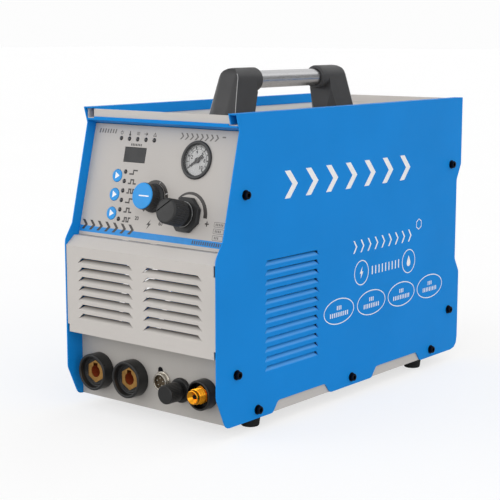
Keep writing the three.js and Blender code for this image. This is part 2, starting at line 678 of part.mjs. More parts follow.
function chassisBracket() {
  const [low, high] = [TRAY_Z + SHEET + GAP, BRACKET_Z - SHEET];
  const section = bentSheet([[-92, low], [-70, low], [-70, high], [70, high], [70, low], [92, low]]);
  return prismY(section, 180, 430);
}

function heatSink() {
  const [front, rear, low] = [190, 425, BRACKET_Z + GAP];
  const base = block(-62, 62, front, rear, low, low + 8);
  const fin = block(-61, -59, front, rear, low + 7, 225.6);
  const fins = Array.from({ length: 14 }, (_, i) => moved(fin, i * 9.2, 0, 0));
  return join(base, ...fins);
}

function powerBoard() {
  const board = block(-98, 98, 170, 440, 232, 234);
  const capacitors = [0, 1, 2, 3].map((i) => (
    moved(rod(17, 0, 52, 12).rotateX(-Math.PI / 2), -60 + i * 40, 205, 233)));
  const choke = block(-40, 40, 250, 310, 233.5, 268);
  const relay = block(50, 84, 330, 380, 233.5, 262);
  const pillar = block(-4, 4, -4, 4, 226, 232.5);
  const corners = [[-56.5, 200], [56.5, 200], [-56.5, 410], [56.5, 410]];
  const pillars = corners.map(([x, y]) => moved(pillar, x, y, 0));
  return join(board, choke, relay, ...capacitors, ...pillars);
}

function mainTransformer() {
  const low = TRAY_Z + SHEET + GAP;
  const windows = [-28, 12].map((x) => block(x, x + 16, 260, 340, low + 20, low + 76));
  const core = cut(block(-48, 48, 270, 330, low, low + 96), ...windows);
  return join(core, block(-27, 27, 258, 342, low + 24, low + 72));
}

function outputInductor() {
  const low = TRAY_Z + SHEET + GAP;
  const coil = new THREE.TorusGeometry(30, 15, 8, 14);
  return join(moved(coil, 0, 180, low + 20), block(-12, 12, 130, 155, low, low + 16));
}

function solenoidValve() {
  const low = TRAY_Z + SHEET + GAP;
  const coil = moved(rod(11, 0, 34, 14).rotateX(-Math.PI / 2), 0, 18, low + 20);
  return join(block(-14, 14, 0, 36, low, low + 22), coil);
}

// ---------------------------------------------------------------- assembly
const group = new THREE.Group();
const machine = new THREE.Group();
machine.position.y = -(FRONT_REACH + REAR_REACH) / 2;
group.add(machine);

function buildCasing() {
  const right = sidePanel();
  place(machine, 'side_panel_right', right, FINISH.blueSteel);
  place(machine, 'side_panel_left', leftSidePanel(right), FINISH.blueSteel);
  place(machine, 'base_tray', baseTray(), FINISH.beigeSteel);
  place(machine, 'front_brow', frontBrow(), FINISH.blueSteel);
  place(machine, 'top_cover', topCover(), FINISH.beigeSteel);
  place(machine, 'louvre_cover', louvreCover(), FINISH.beigeSteel);
  place(machine, 'connector_panel', connectorPanel(), FINISH.beigeSteel);
  place(machine, 'rear_panel', rearPanel(), FINISH.beigeSteel);
}

function buildHandleAndFeet() {
  const post = handlePost();
  place(machine, 'handle_post_front', post, FINISH.blackPlastic);
  place(machine, 'handle_post_rear', mirroredAboutY(post, HANDLE.centreY), FINISH.blackPlastic);
  place(machine, 'handle_tube', handleTube(), FINISH.steel);
  FEET.y.forEach((y, i) => {
    const end = ['front', 'rear'][i];
    place(machine, `foot_${end}_left`, foot(), FINISH.rubber, [-FEET.x, y, 0]);
    place(machine, `foot_${end}_right`, foot(), FINISH.rubber, [FEET.x, y, 0]);
    const screw = toSolid(facingRight(toGeometry(sideScrew())));
    place(machine, `side_screw_${end}_right`, screw, FINISH.blackSteel, [HALF_WIDTH, ...UPPER_SCREWS[i]]);
    const left = [-HALF_WIDTH, ...UPPER_SCREWS[i]];
    place(machine, `side_screw_${end}_left`, mirroredX(screw), FINISH.blackSteel, left);
  });
}

// Everything on the fascia stands in a group whose X is across, Z up the slope, -Y outwards.
function buildFascia() {
  const panel = new THREE.Group();
  panel.position.set(0, ...FASCIA_FOOT);
  panel.rotation.x = -FASCIA_LEAN;
  machine.add(panel);
  const gauge = [GAUGE.x, 0, GAUGE.s];
  const regulator = [REGULATOR.x, 0, REGULATOR.s];
  place(panel, 'control_fascia', controlFascia(), FINISH.beigeSteel);
  place(panel, 'control_board', controlBoard(), FINISH.circuitBoard);
  place(panel, 'display_window', displayWindow(), FINISH.blackPlastic, [DISPLAY.x, 0, DISPLAY.s]);
  ['upper', 'middle', 'lower'].forEach((level, i) => {
    place(panel, `button_${level}`, button(), FINISH.bluePlastic, [BUTTON.x, 0, BUTTON.s[i]]);
  });
  place(panel, 'gauge_case', gaugeCase(), FINISH.blackPlastic, gauge);
  place(panel, 'gauge_dial', ring(GAUGE.window - GAP, 2.2, -2.2, -1.6, 20), FINISH.dialWhite, gauge);
  place(panel, 'gauge_needle', gaugeNeedle(), FINISH.blackPlastic, gauge);
  place(panel, 'gauge_lens', rod(GAUGE.window - GAP, 0.9, 1.7, 20), FINISH.clear, gauge);
  place(panel, 'current_knob', currentKnob(), FINISH.blackPlastic, [CURRENT.x, 0, CURRENT.s]);
  const cap = turned([[0, 18.3], [13.6, 18.3], [13.6, 19.6], [12.9, 20], [0, 20.2]]);
  place(panel, 'current_knob_cap', cap, FINISH.bluePlastic, [CURRENT.x, 0, CURRENT.s]);
  place(panel, 'regulator_knob', regulatorKnob(), FINISH.blackPlastic, regulator);
  place(panel, 'regulator_spindle', regulatorSpindle(), FINISH.blackPlastic, regulator);
  place(panel, 'regulator_nut', regulatorNut(), FINISH.blackPlastic, regulator);
  place(panel, 'regulator_body', regulatorBody(), FINISH.aluminium, regulator);
}

function buildConnectors() {
  ['work', 'pilot'].forEach((use, i) => {
    const position = [SOCKETS.x[i], PORT_Y, SOCKETS.z];
    place(machine, `${use}_socket_shell`, socketShell(), FINISH.blackPlastic, position);
    place(machine, `${use}_socket_insert`, socketInsert(), FINISH.brass, position);
  });
  place(machine, 'pin_port', pinPort(), FINISH.nickel, [PIN_PORT.x, PORT_Y, PIN_PORT.z]);
  place(machine, 'fuse_holder', fuseHolder(), FINISH.blackPlastic, [FUSE.x, PORT_Y, FUSE.z]);
  place(machine, 'fuse_cap', fuseCap(), FINISH.blackPlastic, [FUSE.x, PORT_Y, FUSE.z]);
  place(machine, 'torch_socket_shell', torchShell(), FINISH.blackPlastic, [TORCH.x, PORT_Y, TORCH.z]);
  place(machine, 'torch_fitting', torchFitting(), FINISH.brass, [TORCH.x, PORT_Y, TORCH.z]);
}

// The rear group faces backwards: its -Y is outwards and its X runs to the machine's left.
function buildRear() {
  const rear = new THREE.Group();
  rear.position.y = REAR_Y;
  rear.rotation.z = Math.PI;
  machine.add(rear);
  place(rear, 'fan_grille', fanGrille(), FINISH.blackPlastic, [0, 0, FAN.z]);
  place(rear, 'power_switch_frame', switchFrame(), FINISH.blackPlastic, [-SWITCH.x, 0, SWITCH.z]);
  const pivot = [-SWITCH.x, SWITCH.pivot, SWITCH.z];
  place(rear, 'power_switch_rocker', switchRocker(), FINISH.blackPlastic, pivot);
  place(rear, 'cable_gland', cableGland(), FINISH.blackPlastic, [-GLAND.x, 0, GLAND.z]);
  place(rear, 'air_inlet', airInlet(), FINISH.brass, [-INLET.x, 0, INLET.z]);
  place(rear, 'ground_stud', groundStud(), FINISH.steel, [-STUD.x, 0, STUD.z]);
  place(rear, 'fan_frame', fanFrame(), FINISH.blackPlastic, [0, SHEET, FAN.z]);
  place(rear, 'fan_rotor', fanRotor(), FINISH.blackPlastic, [0, SHEET, FAN.z]);
}

function buildInside() {
  place(machine, 'chassis_bracket', chassisBracket(), FINISH.beigeSteel);
  place(machine, 'heat_sink', heatSink(), FINISH.aluminium);
  place(machine, 'power_board', powerBoard(), FINISH.circuitBoard);
  place(machine, 'main_transformer', mainTransformer(), FINISH.ferrite);
  place(machine, 'output_inductor', outputInductor(), FINISH.copper);
  place(machine, 'solenoid_valve', solenoidValve(), FINISH.blackPlastic, [88, 130, 0]);
  const supply = [
    [INLET.x, REAR_Y - 16.5, INLET.z], [INLET.x + 4, 455, 70], [98, 400, 60], [99, 300, 64],
    [98, 200, 90], [88, 130, 150], [40, 112, 195], [2, 86, 222], [3, 62, 232.8], [19.4, 58.7, 233],
  ];
  place(machine, 'air_hose_supply', tube(supply, 4, 20), FINISH.hose);
  const torch = [
    [88, 129, 27], [88, 110, 28], [84, 80, 38], [TORCH.x, 60, TORCH.z], [TORCH.x, PORT_Y + 20.6, TORCH.z],
  ];
  place(machine, 'air_hose_torch', tube(torch, 3.6, 10), FINISH.hose);
}

buildCasing();
buildHandleAndFeet();
buildFascia();
buildConnectors();
buildRear();
buildInside();

export default group;
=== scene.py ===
"""Looks of the plasma cutter: fine pieces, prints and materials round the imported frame."""
import math

import bmesh
import bpy
from mathutils import Matrix, Vector


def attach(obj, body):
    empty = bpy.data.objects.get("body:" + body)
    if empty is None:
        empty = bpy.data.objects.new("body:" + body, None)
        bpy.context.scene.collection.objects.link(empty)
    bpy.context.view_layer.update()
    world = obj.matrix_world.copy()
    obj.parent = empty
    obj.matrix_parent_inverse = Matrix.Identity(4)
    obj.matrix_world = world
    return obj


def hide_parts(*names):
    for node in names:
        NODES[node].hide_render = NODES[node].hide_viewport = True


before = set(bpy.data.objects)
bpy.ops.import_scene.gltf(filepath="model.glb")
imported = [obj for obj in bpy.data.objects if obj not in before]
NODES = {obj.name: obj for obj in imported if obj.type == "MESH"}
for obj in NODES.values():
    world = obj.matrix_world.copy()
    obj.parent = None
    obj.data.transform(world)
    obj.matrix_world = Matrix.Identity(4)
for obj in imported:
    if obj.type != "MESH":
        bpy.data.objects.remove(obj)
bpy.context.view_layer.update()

MM = 0.001
TAU = 2 * math.pi
SHARP = math.radians(32)  # edges over this angle stay sharp, and get a bevel where one is asked for
INK = 0.08  # thickness of a print

SHIFT = -255.27  # from the casing's front edge to the frame's middle, along Y
HALF_WIDTH, PORT_Y, REAR_Y = 115, 23, 489  # side sheets, connector panel and rear panel
FASCIA_Y, FASCIA_Z, LEAN = 21.83, 209, math.atan(0.249)  # foot and slope of the control panel

# Positions across and up, in millimetres, on the surface that each thing stands on.
GAUGE, CURRENT_KNOB, REGULATOR = (50.1, 93.2), (-4, 46.8), (48.4, 32.2)
KEY_X, KEY_ROWS = -65.8, (("upper", 68.4), ("middle", 46.6), ("lower", 24.8))
STATUS_LAMPS, STATUS_ROW = (-68.8, -55.9, -43, -30.1, -17.2), 111.7
MODE_COLUMN, MODE_ROWS = -53.8, [73.7 - 10.9 * i for i in range(6)]
LEAD_ROW, PIN_PORT, FUSE, TORCH = 46.7, (16.2, 49.7), (44.1, 44.3), (80.3, 46.7)
FAN, GLAND, INLET, STUD = (0, 235), (60, 140), (-60, 72), (60, 72)
SIDE_SCREWS = [(48.6, 265.7), (477.6, 265.7), (33.5, 70.9), (477.6, 70.9)]
SIDE_SCREWS += [(69.8, 24.1), (252.2, 24.1), (434.6, 24.1)]
FOOT_X, FOOT_ROWS = 95, (("front", 81.4), ("rear", 422.2))
TUBE_Y, TUBE_Z = 267.2, 381.5

# ---------------------------------------------------------------- places
# A place is a matrix whose X runs across, Y up and Z outwards, with millimetre positions inside it.


def place(origin, across, up, out):
    matrix = Matrix((across, up, out)).transposed().to_4x4()
    matrix.translation = Vector(origin) * MM
    return matrix


UP_SLOPE, OFF_SLOPE = (0, math.sin(LEAN), math.cos(LEAN)), (0, -math.cos(LEAN), math.sin(LEAN))
FASCIA = place((0, FASCIA_Y + SHIFT, FASCIA_Z), (1, 0, 0), UP_SLOPE, OFF_SLOPE)
FRONT = place((0, PORT_Y + SHIFT, 0), (1, 0, 0), (0, 0, 1), (0, -1, 0))
RIGHT = place((HALF_WIDTH, SHIFT, 0), (0, 1, 0), (0, 0, 1), (1, 0, 0))
LEFT = place((-HALF_WIDTH, SHIFT, 0), (0, -1, 0), (0, 0, 1), (-1, 0, 0))
REAR = place((0, REAR_Y + SHIFT, 0), (-1, 0, 0), (0, 0, 1), (0, 1, 0))
FLOOR = place((0, SHIFT, 0), (1, 0, 0), (0, 1, 0), (0, 0, 1))


def at(base, x=0.0, y=0.0, z=0.0, turn=0.0):
    return base @ Matrix.Translation(Vector((x, y, z)) * MM) @ Matrix.Rotation(math.radians(turn), 4, "Z")


def on_circle(radius, degrees):
    angle = math.radians(degrees)
    return radius * math.cos(angle), radius * math.sin(angle)


# ---------------------------------------------------------------- materials
def linear(r, g, b):
    def channel(v):
        v /= 255
        return v / 12.92 if v <= 0.04045 else ((v + 0.055) / 1.055) ** 2.4
    return (channel(r), channel(g), channel(b))


def fill(node, **values):
    """Sets a node's inputs; an underscore stands for the space in a name."""
    for key, value in values.items():
        node.inputs[key.replace("_", " ")].default_value = value
    return node


class Graph:
    """A short way to write a node tree."""

    def __init__(self, name):
        self.material = bpy.data.materials.new(name)
        self.material.use_nodes = True
        self.tree = self.material.node_tree
        self.shader = self.tree.nodes["Principled BSDF"]
        self.object = self.add("ShaderNodeTexCoord").outputs["Object"]

    def add(self, kind, **values):
        node = self.tree.nodes.new(kind)
        for key, value in values.items():
            setattr(node, key, value)
        return node

    def link(self, a, b):
        self.tree.links.new(a, b)

    def stretched(self, scale):
        node = fill(self.add("ShaderNodeMapping"), Scale=scale)
        self.link(self.object, node.inputs["Vector"])
        return node.outputs["Vector"]

    def noise(self, scale, detail=3.0, rough=0.5, vector=None):
        node = fill(self.add("ShaderNodeTexNoise"), Scale=scale, Detail=detail, Roughness=rough)
        self.link(vector or self.object, node.inputs["Vector"])
        return node.outputs["Fac"]

    def remap(self, value, low, high, start=0.3, end=0.7):
        node = fill(self.add("ShaderNodeMapRange"), From_Min=start, From_Max=end, To_Min=low, To_Max=high)
        self.link(value, node.inputs["Value"])
        return node.outputs["Result"]

    def blend(self, factor, a, b):
        node = self.add("ShaderNodeMix", data_type="RGBA")
        self.link(factor, node.inputs["Factor"])
        for socket, value in ((node.inputs["A"], a), (node.inputs["B"], b)):
            if isinstance(value, tuple):
                socket.default_value = (*value, 1.0)
            else:
                self.link(value, socket)
        return node.outputs["Result"]

    def math(self, operation, a, b):
        node = self.add("ShaderNodeMath", operation=operation)
        for socket, value in zip(node.inputs, (a, b)):
            if isinstance(value, (int, float)):
                socket.default_value = value
            else:
                self.link(value, socket)
        return node.outputs[0]

    def bump(self, height, strength, distance, under=None):
        node = fill(self.add("ShaderNodeBump"), Strength=strength, Distance=distance)
        self.link(height, node.inputs["Height"])
        if under is not None:
            self.link(under, node.inputs["Normal"])
        return node.outputs["Normal"]


def scaled(colour, factor):
    return tuple(min(1.0, c * factor) for c in colour)


def louvre_painted_light_and_shade(g, tone, axis, face, zones, colour, depths):
    """Painted light and shade on the bent louvre tongues: a colour that begins, peaks and ends at three depths
    behind the face.
    """
    split = g.add("ShaderNodeSeparateXYZ")
    g.link(g.object, split.inputs[0])
    inwards = g.math("SUBTRACT", face * MM, g.math("ABSOLUTE", split.outputs[axis], 0.0))
    begin, peak, end = (depth * MM for depth in depths)
    tone_shift = g.math("MINIMUM", g.remap(inwards, 0, 1, begin, peak), g.remap(inwards, 1, 0, peak, end))
    for side, (low, high) in zones.items():
        zone = g.math("COMPARE", split.outputs[side], (low + high) / 2 * MM)
        zone.node.inputs[2].default_value = (high - low) / 2 * MM
        tone_shift = g.math("MULTIPLY", tone_shift, zone)
    return g.blend(tone_shift, tone, linear(*colour))


def painted(name, colour, rough, orange_peel=1.0, speck=0.0, gloss=0.3, tone_shift=None):
    """Powder coat: a fine orange-peel skin, a faint mottle, handling marks in the gloss."""
    g = Graph(name)
    base = linear(*colour)
    mottle = g.remap(g.noise(9, 4), 0, 1)
    tone = g.blend(mottle, scaled(base, 0.965), scaled(base, 1.035))
    if speck:
        flecks = g.remap(g.noise(2600, 1), 0, speck, 0.62, 0.72)
        tone = g.blend(flecks, tone, scaled(base, 0.72))
    # painted light and shade: the louvre tongues take the given colour, lighter on the sides and darker on the
    # front
    if tone_shift:
        tone = louvre_painted_light_and_shade(g, tone, *tone_shift)
    g.link(tone, g.shader.inputs["Base Color"])
    smears = g.noise(38, 5, 0.6, g.stretched((1, 0.35, 1)))
    g.link(g.remap(smears, rough - 0.05, rough + 0.07), g.shader.inputs["Roughness"])
    skin = g.bump(g.noise(1500, 2), 0.10 * orange_peel, 0.00012)
    wavy = g.bump(g.noise(210, 2), 0.05 * orange_peel, 0.0003, skin)
    g.link(wavy, g.shader.inputs["Normal"])
    fill(g.shader, Specular_IOR_Level=gloss)
    return g.material


def moulded(name, colour, rough, grain=0.35, sheen=0.0):
    """Moulded plastic: spark-eroded grain, flow marks and, with sheen, a polished coat."""
    g = Graph(name)
    base = linear(*colour)
    tone = g.blend(g.remap(g.noise(24, 4), 0, 1), scaled(base, 0.9), scaled(base, 1.12))
    g.link(tone, g.shader.inputs["Base Color"])
    g.link(g.remap(g.noise(70, 5, 0.6), rough - 0.08, rough + 0.08), g.shader.inputs["Roughness"])
    pits = fill(g.add("ShaderNodeTexVoronoi"), Scale=2300)
    g.link(g.object, pits.inputs["Vector"])
    rough_skin = g.bump(pits.outputs["Distance"], grain, 0.00006)
    g.link(g.bump(g.noise(420, 2), grain * 0.3, 0.0001, rough_skin), g.shader.inputs["Normal"])
    fill(g.shader, Specular_IOR_Level=0.35)
    if sheen:
        fill(g.shader, Coat_Weight=sheen, Coat_Roughness=0.18)
    return g.material


def metal(name, colour, rough, brush=(1, 1, 1), marks=0.25, tarnish=0.0, tarnish_colour=None, tone_shift=1.0):
    """Machined metal: fine tool marks along one direction, a slight haze in the tone and uneven gloss."""
    g = Graph(name)
    base = linear(*colour)
    haze = g.remap(g.noise(120, 4), 0, 1)
    tone = g.blend(haze, scaled(base, 1 - 0.1 * tone_shift), scaled(base, 1 + 0.08 * tone_shift))
    if tarnish:
        spots = g.remap(g.noise(310, 5, 0.65), 0, tarnish, 0.42, 0.68)
        tone = g.blend(spots, tone, linear(*tarnish_colour))
    g.link(tone, g.shader.inputs["Base Color"])
    fill(g.shader, Metallic=1.0)
    lines = g.noise(900, 3, 0.6, g.stretched(brush))
    g.link(g.remap(lines, rough * 0.75, rough * 1.35), g.shader.inputs["Roughness"])
    g.link(g.bump(lines, marks, 0.00003), g.shader.inputs["Normal"])
    return g.material


def printed(name, colour, rough=0.45):
    """Screen-printed ink with a faint mesh texture and slightly uneven cover."""
    g = Graph(name)
    base = linear(*colour)
    tone = g.blend(g.remap(g.noise(160, 4), 0, 1), scaled(base, 0.93), scaled(base, 1.05))
    g.link(tone, g.shader.inputs["Base Color"])
    g.link(g.remap(g.noise(90, 3), rough - 0.06, rough + 0.06), g.shader.inputs["Roughness"])
    g.link(g.bump(g.noise(2400, 1), 0.15, 0.00003), g.shader.inputs["Normal"])
    return g.material


def clear(name):
    """A nearly invisible window with faint waves and haze in its gloss."""
    g = Graph(name)
    haze = g.remap(g.noise(300, 4), 0.02, 0.06)
    g.link(haze, g.shader.inputs["Roughness"])
    fill(g.shader, Base_Color=(0.5, 0.5, 0.5, 1), Alpha=0.06)
    g.link(g.bump(g.noise(60, 2), 0.05, 0.0002), g.shader.inputs["Normal"])
    return g.material


BLUE, BEIGE, EVEN = (17, 139, 223), (203, 198, 193), (1, 1, 1)  # EVEN: tool marks in no direction
# Painted light and shade on the louvre tongues, darker in the front recesses and lighter on the up-facing side
# slopes: axis, place of the sheet, extents, colour, three depths.
SIDE_TONGUES, FRONT_TONGUES = {"Y": (SHIFT + 82, SHIFT + 185), "Z": (62, 191)}, {"X": (-97, 97), "Z": (104, 184)}
SIDE_PAINTED_LIGHT = ("X", HALF_WIDTH, SIDE_TONGUES, (92, 170, 240), (0.1, 1.6, 4.6))
FRONT_PAINTED_SHADE = ("Y", -SHIFT - 0.7, FRONT_TONGUES, (118, 114, 110), (0.0, 3.8, 12))

LOOK = {
    "blue": painted("blue_powder_coat", BLUE, 0.46, gloss=0.13),
    # The next two coats carry painted light and shade on their louvre tongues: a lighter blue on the side
    # slopes, a darker grey in the front recesses.
    "side_blue": painted("blue_side_coat_painted_light", BLUE, 0.46, gloss=0.13, tone_shift=SIDE_PAINTED_LIGHT),
    "front_beige": painted("grey_front_coat_painted_shade", BEIGE, 0.5, 1.2, 0.35, tone_shift=FRONT_PAINTED_SHADE),
    "beige": painted("grey_powder_coat", BEIGE, 0.5, 1.2, 0.35),
    # Painted shade: a darker copy of the grey paint for the connector panel, recessed under the louvre cover.
    "shade_beige": painted("grey_powder_coat_painted_shade", (180, 176, 171), 0.5, 1.2, 0.35),
    # The printed fascia overlay, in a grey darker than the sheet's: a real overlay whose extra darkness is
    # painted shade under the brow.
    "film_beige": painted("fascia_film_painted_shade", (192, 187, 182), 0.46, 0.8, 0.15),
    "stripe": printed("stripe_ink", (24, 138, 214), 0.5),
    "white_ink": printed("white_ink", (254, 254, 254)),
    "dark_ink": printed("dark_ink", (62, 58, 56)),
    "grey_ink": printed("grey_ink", (112, 108, 104)),
    "black": moulded("black_moulding", (46, 46, 46), 0.45),
    "handle": moulded("handle_moulding", (56, 56, 57), 0.42, 0.5),
    "gloss_black": moulded("connector_moulding", (34, 34, 34), 0.34, 0.2, 0.1),
    "bezel": moulded("bezel_moulding", (48, 48, 48), 0.38, 0.15, 0.1),
    "display": moulded("display_filter", (52, 52, 52), 0.45, 0.08),
    "lamp": moulded("lamp_lens", (20, 20, 22), 0.2, 0.05, 0.5),
    "key_blue": moulded("blue_keycap", (34, 150, 226), 0.42, 0.12),
    "rubber": moulded("foot_rubber", (26, 26, 27), 0.75, 0.6),
    "tube": metal("polished_tube", (196, 196, 197), 0.26, (5, 5, 0.06), 0.015, tone_shift=0.1),
    "screw": metal("black_oxide", (38, 38, 42), 0.34, EVEN, 0.3),
    "zinc": metal("zinc_plate", (190, 190, 188), 0.34, EVEN, 0.25, 0.25, (120, 118, 110)),
    "brass": metal("golden_brass", (240, 162, 40), 0.16, (0.3, 0.3, 3), 0.2),
    "old_brass": metal("socket_brass", (186, 142, 82), 0.42, EVEN, 0.4, 0.35, (120, 84, 44)),
    "bore": moulded("socket_bore", (150, 66, 34), 0.45, 0.3),
    "nickel": metal("nickel_plate", (196, 190, 180), 0.22, EVEN, 0.2, 0.2, (120, 112, 100)),
    "aluminium": metal("cast_aluminium", (190, 192, 194), 0.4, EVEN, 0.5),
    "copper": metal("enamelled_copper", (176, 92, 44), 0.35, (1, 1, 6), 0.5),
    "dial": printed("dial_card", (198, 198, 197), 0.5),
    "board": moulded("solder_mask", (28, 82, 52), 0.4, 0.2, 0.3),
    "core": moulded("taped_core", (58, 56, 54), 0.7, 0.5),
    "hose": moulded("blue_hose", (44, 104, 178), 0.38, 0.1, 0.2),
    "clear": clear("gauge_window"),
    "scale_ink": printed("scale_ink", (28, 27, 27)),
    "pin_bed": metal("tarnished_nickel", (104, 92, 76), 0.5, EVEN, 0.4, 0.4, (58, 46, 34)),
    # A pale grey that paints the highlight along the handle posts' edges.
    "painted_edge_highlight": moulded("post_edge_highlight", (168, 168, 168), 0.42, 0.1),
}

# ---------------------------------------------------------------- meshes, in millimetres


def polar(count, radius, phase=0.0):
    angles = [phase + TAU * i / count for i in range(count)]
    return [(radius * math.cos(a), radius * math.sin(a)) for a in angles]


def hexagon(corner, phase=math.pi / 2):
    return polar(6, corner, phase)


def skin(bm, a, b):
    """Faces between two closed loops with the same number of points."""
    for i in range(len(a)):
        j = (i + 1) % len(a)
        corners = list(dict.fromkeys((a[i], a[j], b[j], b[i])))
        if len(corners) > 2:
            bm.faces.new(corners)


def outward(bm):
    bmesh.ops.recalc_face_normals(bm, faces=bm.faces)
    return bm


def lathe(profile, segments=96, ribs=0, depth=0.0):
    """Turns [(radius, height)] or [(radius, height, 1)] round Z; points marked 1 carry the ribs."""
    bm = bmesh.new()
    closed = profile[0][:2] == profile[-1][:2]
    rings = []
    for radius, height, *ribbed in profile[:-1] if closed else profile:
        if radius < 1e-6:
            rings.append([bm.verts.new((0, 0, height))] * segments)
            continue
        ring = []
        for k in range(segments):
            angle = TAU * k / segments
            reach = radius - (depth * (0.5 - 0.5 * math.cos(ribs * angle)) if ribbed else 0.0)
            ring.append(bm.verts.new((reach * math.cos(angle), reach * math.sin(angle), height)))
        rings.append(ring)
    pairs = list(zip(rings, rings[1:])) + ([(rings[-1], rings[0])] if closed else [])
    for lower, upper in pairs:
        skin(bm, lower, upper)
    return outward(bm)


def disc(radius, low, high, segments):
    return lathe([(0, low), (radius, low), (radius, high), (0, high)], segments)


def tube(inner, outer, low, high, segments):
    return lathe([(inner, low), (outer, low), (outer, high), (inner, high), (inner, low)], segments)


def prism(points, low, high):
    bm = bmesh.new()
    bottom = [bm.verts.new((x, y, low)) for x, y in points]
    top = [bm.verts.new((x, y, high)) for x, y in points]
    bm.faces.new(bottom)
    bm.faces.new(top)
    skin(bm, bottom, top)
    return outward(bm)


def frame_prism(outer, inner, low, high):
    """A ring between two outlines with the same number of points."""
    bm = bmesh.new()
    edges = ((outer, low), (outer, high), (inner, high), (inner, low))
    loops = [[bm.verts.new((x, y, z)) for x, y in edge] for edge, z in edges]
    for a, b in zip(loops, loops[1:] + loops[:1]):
        skin(bm, a, b)
    return outward(bm)


def sector(radius_from, radius_to, start, end, low, high, steps=48):
    """A band of arc whose inner and outer radius may change from start to end (degrees)."""
    points = []
    for radii, order in ((radius_to, range(steps + 1)), (radius_from, range(steps, -1, -1))):
        for i in order:
            t = i / steps
            angle = math.radians(start + (end - start) * t)
            r = radii[0] + (radii[1] - radii[0]) * t
            points.append((r * math.cos(angle), r * math.sin(angle)))
    return prism(points, low, high)


def shifted(bm, x=0.0, y=0.0, z=0.0, turn=0.0, slant=0.0):
    matrix = Matrix.Translation((x, y, z)) @ Matrix.Rotation(math.radians(turn), 4, "Z")
    if slant:
        matrix = matrix @ Matrix(((1, slant, 0, 0), (0, 1, 0, 0), (0, 0, 1, 0), (0, 0, 0, 1)))
    bmesh.ops.transform(bm, matrix=matrix, verts=bm.verts)
    return bm


def meshed(bm, name="part"):
    mesh = bpy.data.meshes.new(name)
    bm.to_mesh(mesh)
    bm.free()
    return mesh


def added(name, data):
    item = bpy.data.objects.new(name, data)
    bpy.context.scene.collection.objects.link(item)
    return item


def gathered(parts):
    """Several separate solids as one mesh."""
    whole = bmesh.new()
    for part in parts:
        mesh = meshed(part)
        whole.from_mesh(mesh)
        bpy.data.meshes.remove(mesh)
    return whole


def rounded_box(width, height, radius, steps=6):
    points = []
    for cx, cy, start in ((1, 1, 0), (-1, 1, 90), (-1, -1, 180), (1, -1, 270)):
        for i in range(steps + 1):
            x, y = on_circle(radius, start + 90 * i / steps)
            points.append((cx * (width / 2 - radius) + x, cy * (height / 2 - radius) + y))
    return points


def bar(width, height, low=0.0, high=INK, radius=None):
    return prism(rounded_box(width, height, min(width, height) * 0.12 if radius is None else radius), low, high)


def carved(body, tools):
    """Body with tools cut away, through Blender's exact boolean."""
    main = added("main", meshed(body, "main"))
    helpers = [added("tool", meshed(tool, "tool")) for tool in tools]
    for helper in helpers:
        step = main.modifiers.new("cut", "BOOLEAN")
        step.operation = "DIFFERENCE"
        step.solver = "EXACT"
        step.object = helper
    graph = bpy.context.evaluated_depsgraph_get()
    mesh = bpy.data.meshes.new_from_object(main.evaluated_get(graph))
    result = bmesh.new()
    result.from_mesh(mesh)
    for item in [main] + helpers:
        data = item.data
        bpy.data.objects.remove(item)
        bpy.data.meshes.remove(data)
    bpy.data.meshes.remove(mesh)
    return result


def nut(outline, bore, low, high, segments=64):
    """A prism with a round hole right through it."""
    return carved(prism(outline, low, high), [disc(bore, low - 1, high + 1, segments)])


def soft_edges(item, width, segments):
    if width:
        bevel = item.modifiers.new("soft_edges", "BEVEL")
        bevel.width = width * MM
        bevel.segments = segments
        bevel.limit_method = "ANGLE"
        bevel.angle_limit = SHARP
        bevel.use_clamp_overlap = True


def weighted_normals(item):
    item.modifiers.new("weighted", "WEIGHTED_NORMAL").keep_sharp = True


def piece(name, bm, where, look, body="cabinet", replaces=(), edge=0.25, segments=2, smooth=True):
    """A fine mesh with soft edges that rides on a body and may stand for CAD nodes."""
    bmesh.ops.scale(bm, vec=(MM, MM, MM), verts=bm.verts)
    mesh = meshed(bm, name)
    item = added(name, mesh)
    item.matrix_world = where
    mesh.materials.append(LOOK[look])
    if smooth:
        mesh.shade_smooth()
        mesh.set_sharp_from_angle(angle=SHARP)
    if edge or smooth:
        soft_edges(item, edge, segments)
        weighted_normals(item)
    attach(item, body)
    if replaces:
        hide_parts(*replaces)


def print_on(name, marks, where, look, body="cabinet"):
    """Flat prints, as thin solids without bevels."""
    piece(name, gathered(marks), where, look, body, edge=0, smooth=False)


# ---------------------------------------------------------------- CAD nodes that stay
def smoothing_group():
    """Geometry nodes that smooth every face and keep the sharp edges."""
    group = bpy.data.node_groups.new("smooth_by_angle", "GeometryNodeTree")
    group.interface.new_socket("Geometry", in_out="INPUT", socket_type="NodeSocketGeometry")
    group.interface.new_socket("Geometry", in_out="OUTPUT", socket_type="NodeSocketGeometry")
    start = group.nodes.new("NodeGroupInput")
    end = group.nodes.new("NodeGroupOutput")
    faces = group.nodes.new("GeometryNodeSetShadeSmooth")
    edges = group.nodes.new("GeometryNodeSetShadeSmooth")
    faces.inputs["Shade Smooth"].default_value = True
    edges.domain = "EDGE"
    edges.inputs["Shade Smooth"].default_value = False
    angle = group.nodes.new("GeometryNodeInputMeshEdgeAngle")
    wide = group.nodes.new("FunctionNodeCompare")
    wide.operation = "GREATER_THAN"
    wide.inputs[1].default_value = SHARP
    group.links.new(start.outputs[0], faces.inputs["Geometry"])
    group.links.new(faces.outputs[0], edges.inputs["Geometry"])
    group.links.new(angle.outputs[0], wide.inputs[0])
    group.links.new(wide.outputs[0], edges.inputs["Selection"])
    group.links.new(edges.outputs[0], end.inputs[0])
    return group


SMOOTHING = smoothing_group()


